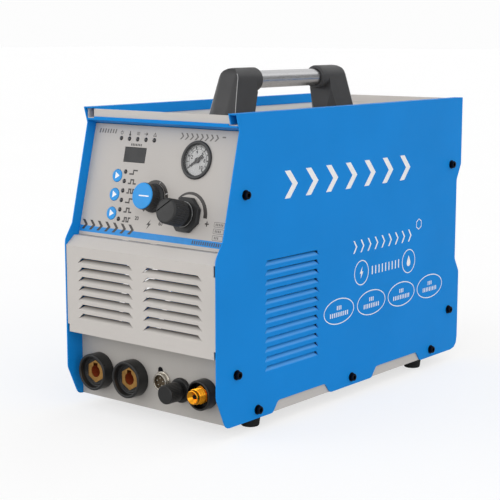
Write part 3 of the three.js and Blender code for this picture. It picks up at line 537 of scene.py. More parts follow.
def dress(node, look, edge=0.35, segments=2):
    """A CAD node keeps its shape and gets soft edges and a real finish."""
    item = NODES[node]
    item.data.materials.clear()
    item.data.materials.append(LOOK[look])
    weld = item.modifiers.new("weld", "WELD")
    weld.merge_threshold = 1e-6
    flat = item.modifiers.new("flat", "DECIMATE")
    flat.decimate_type = "DISSOLVE"
    flat.angle_limit = math.radians(0.5)
    soft_edges(item, edge, segments)
    smooth = item.modifiers.new("smooth", "NODES")
    smooth.node_group = SMOOTHING
    weighted_normals(item)


def dress_frame():
    """Every CAD node that stays visible: its look and the width of its soft edges."""
    for node, look, *edge in (
            ("side_panel_right", "side_blue"), ("side_panel_left", "side_blue"), ("front_brow", "blue"),
            ("louvre_cover", "front_beige"), ("base_tray", "beige"), ("top_cover", "beige"),
            ("rear_panel", "beige"), ("connector_panel", "shade_beige"), ("control_fascia", "film_beige"),
            ("handle_post_front", "handle", 0.7, 3), ("handle_post_rear", "handle", 0.7, 3),
            ("display_window", "display", 0.3), ("power_switch_frame", "gloss_black", 0.5),
            ("power_switch_rocker", "gloss_black", 0.5), ("fan_frame", "black", 0.5),
            ("chassis_bracket", "zinc", 0.3), ("heat_sink", "aluminium", 0.2),
            ("regulator_body", "aluminium", 0.5), ("power_board", "board", 0.3),
            ("control_board", "board", 0.2), ("main_transformer", "core", 0.6),
            ("output_inductor", "copper", 0.3), ("solenoid_valve", "gloss_black", 0.5),
            ("air_hose_supply", "hose", 0), ("air_hose_torch", "hose", 0)):
        dress(node, look, *edge)


# ---------------------------------------------------------------- fascia
def numeral(text, size, low=0.0, high=0.06, weight=0.0):
    """A plain number in the built-in face, as a thin solid centred on its place."""
    curve = bpy.data.curves.new("numeral", "FONT")
    curve.body = text
    curve.size = size
    curve.align_x = "CENTER"
    curve.align_y = "CENTER"
    curve.extrude = (high - low) / 2
    curve.offset = weight
    curve.resolution_u = 3
    item = added("numeral", curve)
    graph = bpy.context.evaluated_depsgraph_get()
    mesh = bpy.data.meshes.new_from_object(item.evaluated_get(graph))
    bm = bmesh.new()
    bm.from_mesh(mesh)
    bmesh.ops.remove_doubles(bm, verts=bm.verts, dist=1e-5)
    bpy.data.objects.remove(item)
    bpy.data.meshes.remove(mesh)
    bpy.data.curves.remove(curve)
    return shifted(bm, z=(low + high) / 2)


def chevron(height, stroke, reach, low=0.0, high=INK):
    """An arrowhead that points right, its strokes of even width."""
    half = height / 2
    points = [(0, -half), (stroke, -half), (stroke + reach, 0), (stroke, half), (0, half), (reach, 0)]
    return prism(points, low, high)


def gauge():
    where = at(FASCIA, *GAUGE)
    rim, window, card, dial_radius = 21.6, 17.4, -1.6, 17.1
    case = lathe([
        (0, -22), (19.5, -22), (19.5, 0.3), (rim, 0.3), (rim, 1.3), (rim - 0.6, 2.1), (rim - 1.4, 2.4),
        (window + 1.3, 2.4), (window + 0.2, 1.9), (window, 1.4), (window, -2.4), (0, -2.4), (0, -22)], 128)
    piece("gauge_body", case, where, "bezel", replaces=["gauge_case"], edge=0.35, segments=3)
    piece("gauge_card", disc(dial_radius, -2.3, card, 96), where, "dial",
          replaces=["gauge_dial"], edge=0.1)
    zero, sweep, ticks, numbers = 215.6, 270.0, 50, 5
    marks = []
    for i in range(ticks + 1):
        angle = zero - sweep * i / ticks
        length, width = (4.0, 1.5) if i % 10 == 0 else (3.2, 1.1) if i % 5 == 0 else (2.0, 0.55)
        tick = bar(length, width, card, card + INK, 0.05)
        marks.append(shifted(tick, *on_circle(16.5 - length / 2, angle), 0, angle))
    for i in range(numbers + 1):
        number = numeral(str(2 * i), 5.6, card, card + INK, 0.16)
        marks.append(shifted(number, *on_circle(9.6, zero - sweep * i / numbers)))
    marks.append(sector((12.2, 12.2), (12.7, 12.7), zero, zero - sweep, card, card + 0.06, 72))
    print_on("gauge_scale", marks, where, "scale_ink")
    lens = lathe([(0, 0.9), (dial_radius, 0.9), (dial_radius, 1.3), (12, 1.55), (6, 1.67), (0, 1.7)], 96)
    piece("gauge_glass", lens, where, "clear", replaces=["gauge_lens"], edge=0.1)
    blade = [(-8.8, -2.2), (0, -1.7), (12.6, -0.55), (12.6, 0.55), (0, 1.7), (-8.8, 2.2)]
    hub = lathe([(0, -1.4), (3.2, -1.4), (3.2, 0.1), (2.7, 0.45), (0, 0.5)], 48)
    needle = gathered([shifted(prism(blade, -0.9, -0.3), turn=zero), hub])
    piece("gauge_pointer", needle, where, "gloss_black", "gauge_needle", ["gauge_needle"],
          edge=0.08)


def current_control():
    where = at(FASCIA, *CURRENT_KNOB)
    band = 0.1
    arc = sector((16.4, 16.4), (20.6, 20.6), -52, 232, 0, band, 96)
    print_on("current_scale_band", [arc], where, "dark_ink")
    ticks = []
    for angle in (-34, 19, 73, 127, 181):
        size = (3.4, 0.7) if angle in (19, 127) else (2.0, 0.4)
        ticks.append(shifted(bar(*size, band, 0.16, 0.05), *on_circle(18.6, angle), 0, angle))
    print_on("current_scale_ticks", ticks, where, "white_ink")
    bolt = [(2.4, 5.6), (-3.4, -0.8), (-0.3, -0.8), (-2.4, -5.6), (3.4, 1.0), (0.3, 1.0)]
    print_on("current_marks", [
        shifted(numeral("20", 6.0, weight=0.15), -21.5, -24.6),
        shifted(numeral("60", 6.0, weight=0.15), 15.5, -27.6),
        shifted(prism(bolt, 0, INK), -2.1, -29.7)], where, "dark_ink")
    top = 18.8
    body = lathe([
        (0, 0.8), (16.2, 0.8), (16.4, 1.2), (16.4, 2.8), (15.6, 4.0), (14.5, 5.4, 1), (14.2, 7, 1),
        (14.2, 11.5, 1), (14.7, 13.4, 1), (15.1, 14.6), (15.1, 18.3), (14.6, top), (0, top)], 288, 36, 0.55)
    piece("current_knob_body", body, where, "black", "current_knob", ["current_knob"],
          edge=0.15)
    cap = lathe([(0, top), (14.75, top), (14.75, 19.6), (14.3, 20.15), (10, 20.3), (0, 20.4)], 96)
    piece("current_knob_face", cap, where, "key_blue", "current_knob", ["current_knob_cap"],
          edge=0.12)
    line = shifted(bar(15, 1.3, 20.3, 20.45, 0.6), 3.0)
    print_on("current_knob_index", [line], where, "white_ink", "current_knob")


def regulator_control():
    where = at(FASCIA, *REGULATOR)
    band = sector((22.6, 23.4), (24.4, 28.8), 134, -3, 0, 0.1, 64)
    plus = gathered([bar(5.6, 1.4), bar(1.4, 5.6, 0.02, 0.1)])
    marks = [band, shifted(plus, 29.8, -7.1), shifted(bar(4.4, 0.9), -25.5, -12)]
    print_on("regulator_arc", marks, where, "dark_ink")
    piece("regulator_panel_nut", nut(polar(8, 20.7, TAU / 16), 9, 0.3, 6), where, "black",
          replaces=["regulator_nut"], edge=0.7, segments=3)
    spindle = lathe([
        (0, -2), (4, -2), (4, 6.6), (13.4, 6.6), (13.9, 7.0), (13.9, 8.0), (13.2, 8.6), (11.4, 9.0), (11.0, 10),
        (11.0, 19), (0, 19.4)], 96)
    piece("regulator_neck", spindle, where, "gloss_black", "regulator_spindle",
          ["regulator_spindle"], edge=0.1)
    ring = lathe([(13.6, 7.4), (14.2, 7.4), (14.2, 7.9), (13.6, 8.1), (13.6, 7.4)], 96)
    piece("regulator_neck_ring", ring, where, "zinc", "regulator_spindle", edge=0.1)
    knob = lathe([
        (11.6, 14.3), (14.6, 14.3), (14.85, 14.7), (14.8, 16), (14.7, 17.2, 1), (14.2, 33.2, 1), (14.05, 34.6),
        (13.5, 35.5), (12.9, 35.75), (12.7, 35.45), (12.4, 35.45), (12.2, 35.8), (0, 36), (0, 24.2),
        (11.6, 24.2), (11.6, 14.3)], 360, 36, 0.7)
    slot_angle, slot_offset = 37, 6.4
    slot = shifted(bar(30, 1.5, 34.5, 37, 0.1), *on_circle(slot_offset, slot_angle + 90), 0, slot_angle)
    piece("regulator_grip", carved(knob, [slot]), where, "black", "regulator_knob",
          ["regulator_knob"], edge=0.12)


def keys_and_lamps():
    for level, row in KEY_ROWS:
        where = at(FASCIA, KEY_X, row)
        cap = lathe([
            (0, -3.6), (3, -3.6), (3, -2.9), (8.3, -2.9), (8.3, -1.9), (7.3, -1.9), (7.3, 0.3), (7.0, 0.75),
            (5, 0.92), (0, 1)], 72)
        piece(f"key_{level}", cap, where, "key_blue", f"button_{level}", [f"button_{level}"],
              edge=0.15)
        arrow = prism([(-2.2, -4.0), (4.3, 0), (-2.2, 4.0)], 0.85, 1.06)
        piece(f"key_{level}_arrow", arrow, where, "white_ink", f"button_{level}", edge=0.1)
    spots = [(x, STATUS_ROW) for x in STATUS_LAMPS] + [(MODE_COLUMN, row) for row in MODE_ROWS]
    dome = [(0, -1.2), (2.5, -1.2), (2.5, 0.2), (2.0, 0.75), (1.1, 1.1), (0, 1.2)]
    lamps = [shifted(lathe(dome, 32), *spot) for spot in spots]
    piece("indicator_lamps", gathered(lamps), FASCIA, "lamp", edge=0)


def dashes(count, pitch, width, height, slant=0.0):
    """A centred row of short upright bars."""
    row = gathered([shifted(bar(width, height), pitch * (i - (count - 1) / 2)) for i in range(count)])
    return shifted(row, slant=slant)


def status_signs(row):
    """Small pictograms over the status lamps: mains, heat, air, gas test, fault."""
    mains, heat, air, gas, fault = STATUS_LAMPS
    ring = sector((1.5, 1.5), (2.1, 2.1), 125, 415, 0, INK, 24)
    signs = [shifted(gathered([ring, shifted(bar(0.7, 2.4), 0, 1.4)]), mains, row)]
    bulb = shifted(disc(1.5, 0, INK, 24), 0, -2)
    signs.append(shifted(gathered([bar(1.2, 4.6, radius=0.6), bulb]), heat, row + 0.2))
    signs += [shifted(bar(4.6, 0.6), air, row + step) for step in (-1.3, 0, 1.3)]
    signs.append(shifted(prism([(-0.6, -2), (2.2, 0), (-0.6, 2)], 0, INK), gas, row))
    signs.append(shifted(bar(2.6, 0.7), gas - 2.3, row))
    outer, inner = [(0, 2.6), (-2.7, -2), (2.7, -2)], [(0, 1.3), (-1.6, -1.35), (1.6, -1.35)]
    signs.append(shifted(frame_prism(outer, inner, 0, INK), fault, row - 0.2))
    return signs


def step_sign(steps, x, y):
    """A square wave of a few steps, a plain stand-in for a word."""
    width = 12.4 / steps
    sign = []
    for k in range(steps):
        left = x + width * k
        sign.append(shifted(bar(width, 1.7, radius=0.1), left + width / 2, y + (2.2 if k % 2 else -2.2)))
        if k:
            sign.append(shifted(bar(1.7, 6.1, 0.01, 0.09, 0.1), left, y))
    return sign


def fascia_prints():
    stripe = shifted(bar(226, 7.2, radius=0.05), 0, 3.75)
    print_on("fascia_stripe", [stripe], FASCIA, "stripe")
    marks = [shifted(chevron(11.4, 4.2, 5.4, 0.09, 0.17), -110.4 + 12.3 * i, 8.6) for i in range(7)]
    marks += status_signs(118.2)
    for i, row in enumerate(MODE_ROWS):
        marks += step_sign(2 + i % 3, -47.6, row)
    marks.append(shifted(dashes(7, 2.5, 1.5, 2.6), -43.5, 105.2))
    print_on("fascia_marks", marks, FASCIA, "dark_ink")
    faint = [shifted(chevron(7.4, 2.3, 3.2), 21 + 7.2 * i, 118.6, slant=0.12) for i in range(8)]
    faint.append(shifted(bar(5, 1.6, radius=0.5), 84, 120))
    for i in range(3):
        x, y = 96, 25.5 - 7.2 * i
        faint.append(shifted(frame_prism(rounded_box(15, 5.6, 0.8), rounded_box(14, 4.6, 0.5), 0, INK), x, y))
        faint.append(shifted(dashes(5 - i, 2.3, 1.3, 2.6), x - i, y))
    for i in range(7):
        faint.append(shifted(bar(2.0, 5.2 - 0.5 * (i % 2), radius=0.2), -104 + 4.2 * i, 119.2, slant=0.2))
    print_on("fascia_faint_marks", faint, FASCIA, "grey_ink")
    ticks = [shifted(bar(1.5, 3.9, 0.09, 0.17, 0.1), 62 + 3.1 * i, 3.7, slant=0.15) for i in range(16)]
    print_on("stripe_marks", ticks, FASCIA, "dark_ink")


# ---------------------------------------------------------------- connectors
def lead_socket(use, x):
    where = at(FRONT, x, LEAD_ROW)
    shell = lathe([
        (0, 0.3), (21.6, 0.3), (21.6, 14.2), (21.3, 15.4), (20.5, 16), (18.9, 16), (18.2, 15.4), (17.9, 14.4),
        (17.6, 9.4), (16.3, 9.0), (15.9, 9.5), (14.8, 9.5), (14.4, 8.8), (0, 8.8)], 128)
    shell = carved(shell, [prism(hexagon(13.6), -1, 12)])
    piece(f"{use}_socket_body", shell, where, "gloss_black", replaces=[f"{use}_socket_shell"])
    keyway = shifted(prism(rounded_box(6.8, 10.2, 0.5), -10, 12), 0, 5.1)
    insert = carved(prism(hexagon(13.4), -12, 9), [disc(7, -6, 10, 64), keyway])
    piece(f"{use}_socket_contact", insert, where, "old_brass", replaces=[f"{use}_socket_insert"],
          edge=0.3)
    sleeve = lathe([(6.95, 8.0), (6.95, -6), (0, -6), (0, -6.4), (6.99, -6.4), (6.99, 8.0), (6.95, 8.0)], 64)
    sleeve = carved(sleeve, [shifted(prism(rounded_box(6.7, 10.2, 0.5), -10, 12), 0, 5.15)])
    piece(f"{use}_socket_bore", sleeve, where, "bore", edge=0)
    piece(f"{use}_socket_tail", disc(5, -26, -12.2, 48), where, "old_brass", edge=0.3)


def pin_connector():
    where = at(FRONT, *PIN_PORT)
    barrel = lathe([
        (0, -14), (8.1, -14), (8.1, 0.3), (11.4, 0.3), (11.4, 1.6), (10.9, 2.0), (9.8, 2.1), (9.8, 6.0),
        (9.4, 6.4), (8.2, 6.4), (7.9, 6.0), (7.9, 2.5), (0, 2.4)], 96)
    key = shifted(bar(2.2, 2.4, 1, 6.2, 0.3), 0, -7.6)
    piece("pin_port_barrel", gathered([barrel, key]), where, "nickel", replaces=["pin_port"],
          edge=0.2)
    bed = lathe([(0, 2.42), (7.7, 2.42), (7.7, 3.0), (0, 3.1)], 64)
    piece("pin_port_bed", bed, where, "pin_bed", edge=0.15)
    pin = [(0, 2.6), (0.9, 2.6), (0.9, 5.0), (0.5, 5.6), (0, 5.7)]
    pins = [shifted(lathe(pin, 24), x, y) for x, y in polar(5, 4.4, math.pi / 2)]
    piece("pin_port_pins", gathered(pins), where, "nickel", edge=0)
    head = carved(prism(hexagon(3.3), 0.1, 1.2), [prism(hexagon(1.9, 0.2), 0.4, 3)])
    screw = gathered([disc(3.5, 0.05, 0.5, 40), head])
    piece("panel_screw", screw, at(FRONT, 12.6, 62.2), "screw", edge=0.2)


def fuse():
    where = at(FRONT, *FUSE)
    holder = lathe([
        (0, -24), (7.6, -24), (7.6, 0.3), (14.1, 0.3), (14.1, 3.4), (13.2, 4.8), (11.4, 5.1), (6.4, 5.1),
        (6.4, -14), (0, -14), (0, -24)], 96)
    piece("fuse_holder_body", holder, where, "gloss_black", replaces=["fuse_holder"], edge=0.3)
    cap = lathe([
        (0, -8), (6, -8), (6, 5.4), (9.5, 5.4), (9.7, 9.6), (10.4, 10.0), (11.1, 10.4), (11.1, 12.6),
        (10.9, 13.2), (10.85, 13.6, 1), (10.8, 26.0, 1), (10.75, 26.4), (10.6, 27.4), (9.9, 28), (0, 28)],
        288, 36, 0.35)
    piece("fuse_cap_grip", cap, where, "gloss_black", "fuse_cap", ["fuse_cap"], edge=0.15)


def torch_connector():
    where = at(FRONT, *TORCH)
    shell = lathe([
        (9, 0.3), (17, 0.3), (17, 12.6), (16.6, 13.8), (15.8, 14.3), (14.9, 14.3), (14.6, 13.8), (14.5, 2.4),
        (9, 2.4), (9, 0.3)], 128)
    piece("torch_socket_body", shell, where, "gloss_black", replaces=["torch_socket_shell"])
    piece("torch_socket_liner", tube(14.05, 14.4, 2.6, 14.0, 96), where, "screw", edge=0.08)
    thread = []
    for i in range(8):
        h = 10.0 + 1.15 * i
        thread += [(8.2, h), (8.8, h + 0.4), (8.8, h + 0.6), (8.2, h + 1.0)]
    barrel = lathe([(0, -20), (8.2, -20), (8.2, 9), (8.2, 9.6)] + thread + [
        (7.5, 19.3), (7.5, 20.0), (8.0, 20.5), (8.0, 22.5), (7.6, 23.2), (6.8, 23.4), (2.6, 20.3), (2.4, 19.8),
        (2.4, 8), (0, 8), (0, -20)], 96)
    piece("torch_fitting_thread", barrel, where, "brass", replaces=["torch_fitting"], edge=0.1)
    piece("torch_fitting_hexagon", nut(hexagon(10.9), 8.0, 2.8, 9.6), where, "brass",
          edge=0.5, segments=3)
    bore = lathe([(0, 8.2), (2.35, 8.2), (2.35, 19.6), (2.1, 19.6), (2.1, 8.6), (0, 8.6), (0, 8.2)], 40)
    piece("torch_fitting_bore", bore, where, "core", edge=0)


# ---------------------------------------------------------------- side screws
def side_screws():
    """Seven cap screws with washers on each side; the first two of a side are CAD nodes."""
    for side, base, sign in (("right", RIGHT, 1), ("left", LEFT, -1)):
        for i, (y, z) in enumerate(SIDE_SCREWS):
            head = lathe([
                (0, -6), (2.4, -6), (2.4, 0.9), (3.4, 0.9), (4.4, 1.3, 1), (4.5, 4.2, 1), (4.2, 4.8), (3.7, 5),
                (0, 5)], 144, 24, 0.3)
            head = carved(head, [prism(hexagon(2.7), 2.0, 6)])
            screw = gathered([head, tube(2.45, 5.6, 0.15, 0.9, 64)])
            replaced = [f"side_screw_{('front', 'rear')[i]}_{side}"] if i < 2 else []
            piece(f"cap_screw_{side}_{i + 1}", screw, at(base, sign * y, z, 0, 17 * i), "screw",
                  replaces=replaced, edge=0.12)


# ---------------------------------------------------------------- handle and feet
def carry_tube():
    where = place((0, TUBE_Y + SHIFT, TUBE_Z), (1, 0, 0), (0, 0, 1), (0, -1, 0))
    piece("carry_tube", tube(8.9, 10.5, -71.4, 71.4, 96), where, "tube",
          replaces=["handle_tube"], edge=0.2)


def bead(path, radius, sides=8):
    """A thin round bead along a path that mostly rises."""
    bm = bmesh.new()
    points = [Vector(p) for p in path]
    rings = []
    for i, point in enumerate(points):
        along = (points[min(i + 1, len(points) - 1)] - points[max(i - 1, 0)]).normalized()
        across = Vector((0, 1, 0)).cross(along).normalized()
        other = along.cross(across)
        spin = [TAU * k / sides for k in range(sides)]
        rings.append([bm.verts.new(point + radius * (math.cos(a) * across + math.sin(a) * other)) for a in spin])
    for lower, upper in zip(rings, rings[1:]):
        skin(bm, lower, upper)
    bm.faces.new(rings[0])
    bm.faces.new(rings[-1])
    return outward(bm)


def post_edge_highlight():
    """A pale bead where each post's rounded face meets its sides: a painted highlight along that edge."""
    base, arch, foot_half, bulge, lean, inset = 340.8, 14.6, 20.0, 33.0, math.atan(0.36), 0.2
    axis_y, steps = 140.2 + bulge * 1.03, 32
    for end in ("front", "rear"):
        beads = []
        for side in (1, -1):
            path = []
            for k in range(steps + 1):
                z = base + 0.2 + (TUBE_Z + 8 - base) * k / steps
                if z < TUBE_Z:
                    x = foot_half + (arch - foot_half) * (z - base + 1) / (TUBE_Z - base + 1)
                else:
                    x = math.sqrt(arch ** 2 - (z - TUBE_Z) ** 2)
                rise = (z - base) * math.sin(lean) - math.sqrt(bulge ** 2 - x ** 2)
                y = axis_y + rise / math.cos(lean) + inset
                path.append((side * (x - 0.1), y if end == "front" else 2 * TUBE_Y - y, z))
            beads.append(bead(path, 0.42))
        piece(f"post_edge_highlight_{end}", gathered(beads), FLOOR, "painted_edge_highlight", edge=0)


def feet():
    for end, y in FOOT_ROWS:
        for side, x in (("left", -FOOT_X), ("right", FOOT_X)):
            foot = lathe([
                (4, 6), (4, 0), (9.6, 0), (10.2, 0.6), (10.5, 2.0), (11.9, 12.6), (12.4, 13.4), (12.4, 14.1),
                (0, 14.1), (0, 6), (4, 6)], 72)
            piece(f"rubber_foot_{end}_{side}", foot, at(FLOOR, x, y), "rubber",
                  replaces=[f"foot_{end}_{side}"], edge=0.3)
            piece(f"foot_screw_{end}_{side}", disc(3.4, 4.2, 5.9, 32), at(FLOOR, x, y), "zinc",
                  edge=0.2)


# ---------------------------------------------------------------- rear
def fan_guard():
    where = at(REAR, *FAN)
    wires = []
    for radius in (12, 22, 32, 42, 52):
        section = [(radius + x, 1.9 + y) for x, y in polar(10, 1.25)]
        wires.append(lathe(section + section[:1], 96))
    rim = lathe([(53.5, 0.3), (58, 0.3), (58, 2.6), (57.2, 3.4), (54.3, 3.4), (53.5, 2.6), (53.5, 0.3)], 128)
    spokes = [shifted(bar(108, 3.0, 0.7, 2.3, 1.4), turn=turn) for turn in (45, 135)]
    hub = lathe([(0, 0.6), (10.8, 0.6), (10.8, 2.8), (9.8, 3.4), (0, 3.4)], 72)
    piece("fan_guard", gathered(wires + [rim] + spokes + [hub]), where, "black",
          replaces=["fan_grille"], edge=0.2)
    for i in range(4):
        spot = at(where, *on_circle(57.5, 45 + 90 * i))
        ear = lathe([(2.2, 0.35), (6, 0.35), (6, 2.4), (5.4, 3.0), (2.2, 3.0), (2.2, 0.35)], 48)
        head = lathe([(0, 0.6), (2.1, 0.6), (2.1, 3.0), (3.9, 3.0), (3.7, 4.2), (2.2, 5.0), (0, 5.2)], 48)
        head = carved(head, [bar(4.4, 0.9, 4.0, 6, 0.1), bar(0.9, 4.4, 4.0, 6, 0.1)])
        piece(f"fan_guard_ear_{i + 1}", ear, spot, "black", edge=0.2)
        piece(f"fan_guard_screw_{i + 1}", head, spot, "screw", edge=0.1)


def rocker_marks():
    """A bar and a ring on the mains rocker, which stands tilted at rest."""
    upright = place((60, 485 + SHIFT, 140), (-1, 0, 0), (0, 0, 1), (0, 1, 0))
    where = upright @ Matrix.Rotation(math.radians(-9), 4, "X")
    marks = [shifted(bar(5.4, 0.9, 7.35, 7.5, 0.2), 0, -7.6), shifted(tube(2.0, 2.8, 7.35, 7.5, 40), 0, 7.2)]
    print_on("rocker_marks", marks, where, "white_ink", "power_rocker")


def fan_wheel():
    """Seven twisted, cambered blades on a hub."""
    where = at(REAR, *FAN, -1.5)
    hub = lathe([(0, -19.4), (21, -19.4), (21, -3.2), (19.8, -2.0), (0, -2.0)], 96)
    blade_count, outwards, across = 7, 8, 6
    rim = [(0, m) for m in range(across + 1)] + [(k, across) for k in range(1, outwards + 1)]
    rim += [(outwards, m) for m in range(across - 1, -1, -1)] + [(k, 0) for k in range(outwards - 1, 0, -1)]
    blades = []
    for i in range(blade_count):
        bm = bmesh.new()
        rows = []
        for k in range(outwards + 1):
            t = k / outwards
            radius = 20.5 + 33.5 * t
            pitch = math.radians(48 - 20 * t)
            chord = 22 + 6 * t
            row = []
            for m in range(across + 1):
                u = m / across - 0.5
                camber = 2.2 * (0.25 - u * u)
                along = chord * u
                height = -10.5 + along * math.sin(pitch) * 0.8 + camber
                angle = TAU * i / blade_count + 0.16 * t + along * math.cos(pitch) / radius
                row.append((radius * math.cos(angle), radius * math.sin(angle), height))
            rows.append(row)
        top = [[bm.verts.new((x, y, z + 0.7)) for x, y, z in row] for row in rows]
        low = [[bm.verts.new((x, y, z - 0.7)) for x, y, z in row] for row in rows]
        for k in range(outwards):
            for m in range(across):
                bm.faces.new((top[k][m], top[k][m + 1], top[k + 1][m + 1], top[k + 1][m]))
                bm.faces.new((low[k][m], low[k + 1][m], low[k + 1][m + 1], low[k][m + 1]))
        skin(bm, [top[k][m] for k, m in rim], [low[k][m] for k, m in rim])
        blades.append(outward(bm))
    piece("fan_wheel", gathered([hub] + blades), where, "black", "fan_rotor", ["fan_rotor"],
          edge=0.15)


def gland():
    where = at(REAR, *GLAND)
    body = lathe([
        (6, -12), (8.2, -12), (8.2, 0.3), (12, 0.3), (12, 8.4), (11.8, 9, 1), (11.6, 14, 1), (10.8, 17.2),
        (9.4, 20.4), (8.4, 21.6), (7.4, 22), (6.9, 21.6), (6.9, 12), (6, 11.4), (6, -12)], 216, 24, 0.6)
    piece("cable_gland_body", body, where, "gloss_black", replaces=["cable_gland"], edge=0.2)
    piece("cable_gland_nut", nut(hexagon(14.4), 11.9, 0.3, 6.5), where, "gloss_black",
          edge=0.6, segments=3)
    seal = lathe([(6.05, 11.6), (6.85, 11.6), (6.85, 21.0), (6.3, 21.2), (6.05, 20.6), (6.05, 11.6)], 72)
    piece("cable_gland_seal", seal, where, "rubber", edge=0.1)


def inlet():
    where = at(REAR, *INLET)
    barbs = [(6.2, 11), (4.4, 12)]
    for i in range(3):
        barbs += [(5.6, 14.4 + 4.6 * i), (4.4, 18.6 + 4.6 * i)]
    mouth = [(4.2, 30), (2.6, 30), (2.4, 29.6), (2.4, 9), (0, 9), (0, -14)]
    barrel = lathe([(0, -14), (6.2, -14)] + barbs + mouth, 72)
    piece("air_inlet_barb", barrel, where, "brass", replaces=["air_inlet"], edge=0.12)
    piece("air_inlet_hexagon", nut(hexagon(10.4), 6.1, 0.3, 8, 48), where, "brass",
          edge=0.5, segments=3)


def stud():
    where = at(REAR, *STUD)
    start, pitch = -12, 1.04
    thread = []
    for i in range(26):
        h = start + pitch * i
        thread += [(2.6, h + 0.05), (3.0, h + 0.45), (3.0, h + 0.55), (2.6, h + 0.95)]
    rod = lathe([(0, start)] + thread + [(2.3, 15.6), (0, 16)], 48)
    piece("earth_stud_rod", rod, where, "zinc", replaces=["ground_stud"], edge=0.05)
    piece("earth_stud_washer", tube(3.1, 6.4, 0.3, 1.6, 64), where, "zinc", edge=0.15)
    piece("earth_stud_nut", nut(hexagon(5.8), 3.05, 2, 7, 48), where, "zinc",
          edge=0.4, segments=3)


# ---------------------------------------------------------------- side prints
def side_marks(sign):
    """(print, Y, Z) of each mark on one side; sign is -1 on the left, where the arrows turn round."""
    turn = 0 if sign > 0 else 180
    marks = [(shifted(chevron(31, 10, 14), turn=turn), 117.5 + 39.2 * i, 270.5) for i in range(7)]
    marks += [(shifted(chevron(15.5, 2.6, 5.4), turn=turn), 253 + 15.2 * i, 183) for i in range(9)]
    marks.append((frame_prism(hexagon(7.2), hexagon(6.1), 0, INK), 400, 195))
    bolt = [(1.8, 7.4), (-3.6, -1.0), (-0.6, -1.0), (-1.8, -7.4), (3.6, 1.3), (0.6, 1.3)]
    arc = [on_circle(4.3, 30 - 15 * k) for k in range(17)]
    drop = [(0, 7.6)] + [(x, y - 2.2) for x, y in arc]
    badge_row = 150
    for y, symbol in ((271, bolt), (377, drop)):
        marks.append((frame_prism(polar(64, 15.4), polar(64, 14.3), 0, INK), y, badge_row))
        marks.append((prism(symbol, 0, INK), y, badge_row))
    marks.append((dashes(9, 7.4, 2.0, 10.5), 324, badge_row))
    circle = polar(72, 1)
    outer, inner = [[(a * x, b * y) for x, y in circle] for a, b in ((31, 15.6), (29.9, 14.5))]
    for i, y in enumerate((224.7, 293.4, 361.3, 429.3)):
        marks.append((frame_prism(outer, inner, 0, INK), y, 110))
        marks.append((dashes(3, 3.6, 1.7, 5.0), y, 114.2))
        marks.append((dashes(10 - i % 2, 3.9, 1.7, 5.4), y, 106.2))
    return marks


def side_prints():
    for side, base, sign in (("right", RIGHT, 1), ("left", LEFT, -1)):
        marks = [shifted(mark, sign * y, z) for mark, y, z in side_marks(sign)]
        print_on(f"side_marks_{side}", marks, base, "white_ink")


# ---------------------------------------------------------------- camera, floor, light
CAMERA_AT, CAMERA_AIM, LENS = (1.0016, -1.2935, 0.4369), (0, -0.05689, 0.17519), 95.18
FLOOR_HALF = 30  # metres
FLOOR_GLOW, FLOOR_GLOW_SEEN = 0.12, 0.53  # always there, and added where the camera sees the floor


def aimed(name, data, where, aim):
    item = added(name, data)
    item.location = where
    item.rotation_euler = (Vector(aim) - Vector(where)).to_track_quat("-Z", "Y").to_euler()
    return item


def studio():
    scene = bpy.context.scene
    lens = bpy.data.cameras.new("camera")
    lens.sensor_width = 36
    lens.lens = LENS
    lens.clip_end = 100
    scene.camera = aimed("camera", lens, CAMERA_AT, CAMERA_AIM)
    studio_light(scene)
    scene.view_settings.view_transform = "Standard"
    studio_floor()
    key = bpy.data.lights.new("key", "AREA")
    key.shape = "RECTANGLE"
    key.size = key.size_y = 0.9
    key.energy = 5
    aimed("key", key, (-1.5, -2.2, 1.5), (0, 0, 0.25))


def studio_floor():
    """Pale matt paper that looks almost white from the camera and stays darker in reflections."""
    mesh = bpy.data.meshes.new("floor")
    corners = [(-1, -1, 0), (1, -1, 0), (1, 1, 0), (-1, 1, 0)]
    mesh.from_pydata([Vector(corner) * FLOOR_HALF for corner in corners], [], [(0, 1, 2, 3)])
    floor = added("floor", mesh)
    g = Graph("floor_paper")
    tone = g.blend(g.remap(g.noise(3, 3), 0, 1), (0.37, 0.37, 0.37), (0.38, 0.38, 0.38))
    g.link(tone, g.shader.inputs["Base Color"])
    fill(g.shader, Roughness=0.9, Specular_IOR_Level=0.05, Emission_Color=(1, 1, 1, 1))
    seen = g.add("ShaderNodeLightPath").outputs["Is Camera Ray"]
    glow = g.math("MULTIPLY_ADD", seen, FLOOR_GLOW_SEEN)
    glow.node.inputs[2].default_value = FLOOR_GLOW
    g.link(glow, g.shader.inputs["Emission Strength"])
    mesh.materials.append(g.material)


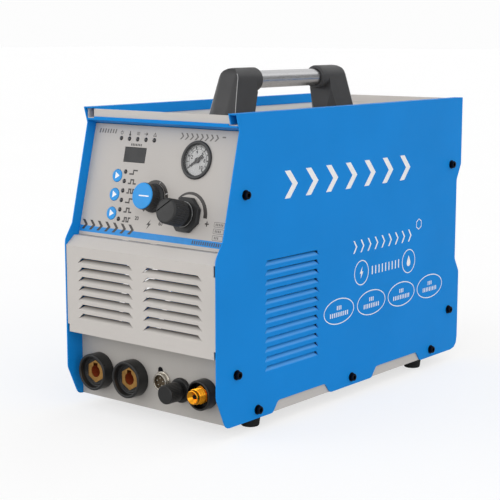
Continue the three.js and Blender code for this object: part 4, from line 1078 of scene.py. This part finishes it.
def studio_light(scene):
    """A soft room: brightest low in front, dimmer overhead and at the far sides, white to the eye."""
    world = bpy.data.worlds.new("studio")
    world.use_nodes = True
    tree = world.node_tree
    new, link = tree.nodes.new, tree.links.new
    direction = new("ShaderNodeTexCoord").outputs["Generated"]

    def facing(vector, start, end, low, high):
        dot = new("ShaderNodeVectorMath")
        dot.operation = "DOT_PRODUCT"
        dot.inputs[1].default_value = Vector(vector).normalized()
        link(direction, dot.inputs[0])
        step = fill(new("ShaderNodeMapRange"), From_Min=start, From_Max=end, To_Min=low, To_Max=high)
        step.interpolation_type = "SMOOTHSTEP"
        link(dot.outputs["Value"], step.inputs["Value"])
        return step.outputs["Result"]

    def combine(operation, a, b):
        node = new("ShaderNodeMath")
        node.operation = operation
        link(a, node.inputs[0])
        link(b, node.inputs[1])
        return node.outputs[0]

    height = facing((0, 0, 1), 0.05, 0.75, 1.05, 0.22)
    front = facing((-0.55, -0.8, 0.0), 0.0, 0.95, 0.0, 0.72)
    right = facing((0.8, -0.1, 0.6), 0.3, 0.95, 0.0, 0.8)
    card = facing((0.0, 0.8, 0.6), 0.82, 0.95, 0.0, 0.6)
    shade = facing((0.68, 0.72, 0.06), 0.86, 0.97, 1.0, 0.25)
    lit = fill(tree.nodes["Background"], Color=(1, 1, 1, 1))
    sky = combine("ADD", combine("ADD", height, front), combine("ADD", right, card))
    link(combine("MULTIPLY", sky, shade), lit.inputs["Strength"])
    seen = fill(new("ShaderNodeBackground"), Color=(1, 1, 1, 1), Strength=0.98)
    mix = new("ShaderNodeMixShader")
    link(new("ShaderNodeLightPath").outputs["Is Camera Ray"], mix.inputs[0])
    link(lit.outputs[0], mix.inputs[1])
    link(seen.outputs[0], mix.inputs[2])
    link(mix.outputs[0], tree.nodes["World Output"].inputs["Surface"])
    scene.world = world


dress_frame()
gauge()
current_control()
regulator_control()
keys_and_lamps()
fascia_prints()
lead_socket("work", -82.6)
lead_socket("pilot", -28)
pin_connector()
fuse()
torch_connector()
side_screws()
carry_tube()
post_edge_highlight()
feet()
fan_guard()
fan_wheel()
gland()
inlet()
stud()
rocker_marks()
side_prints()
studio()
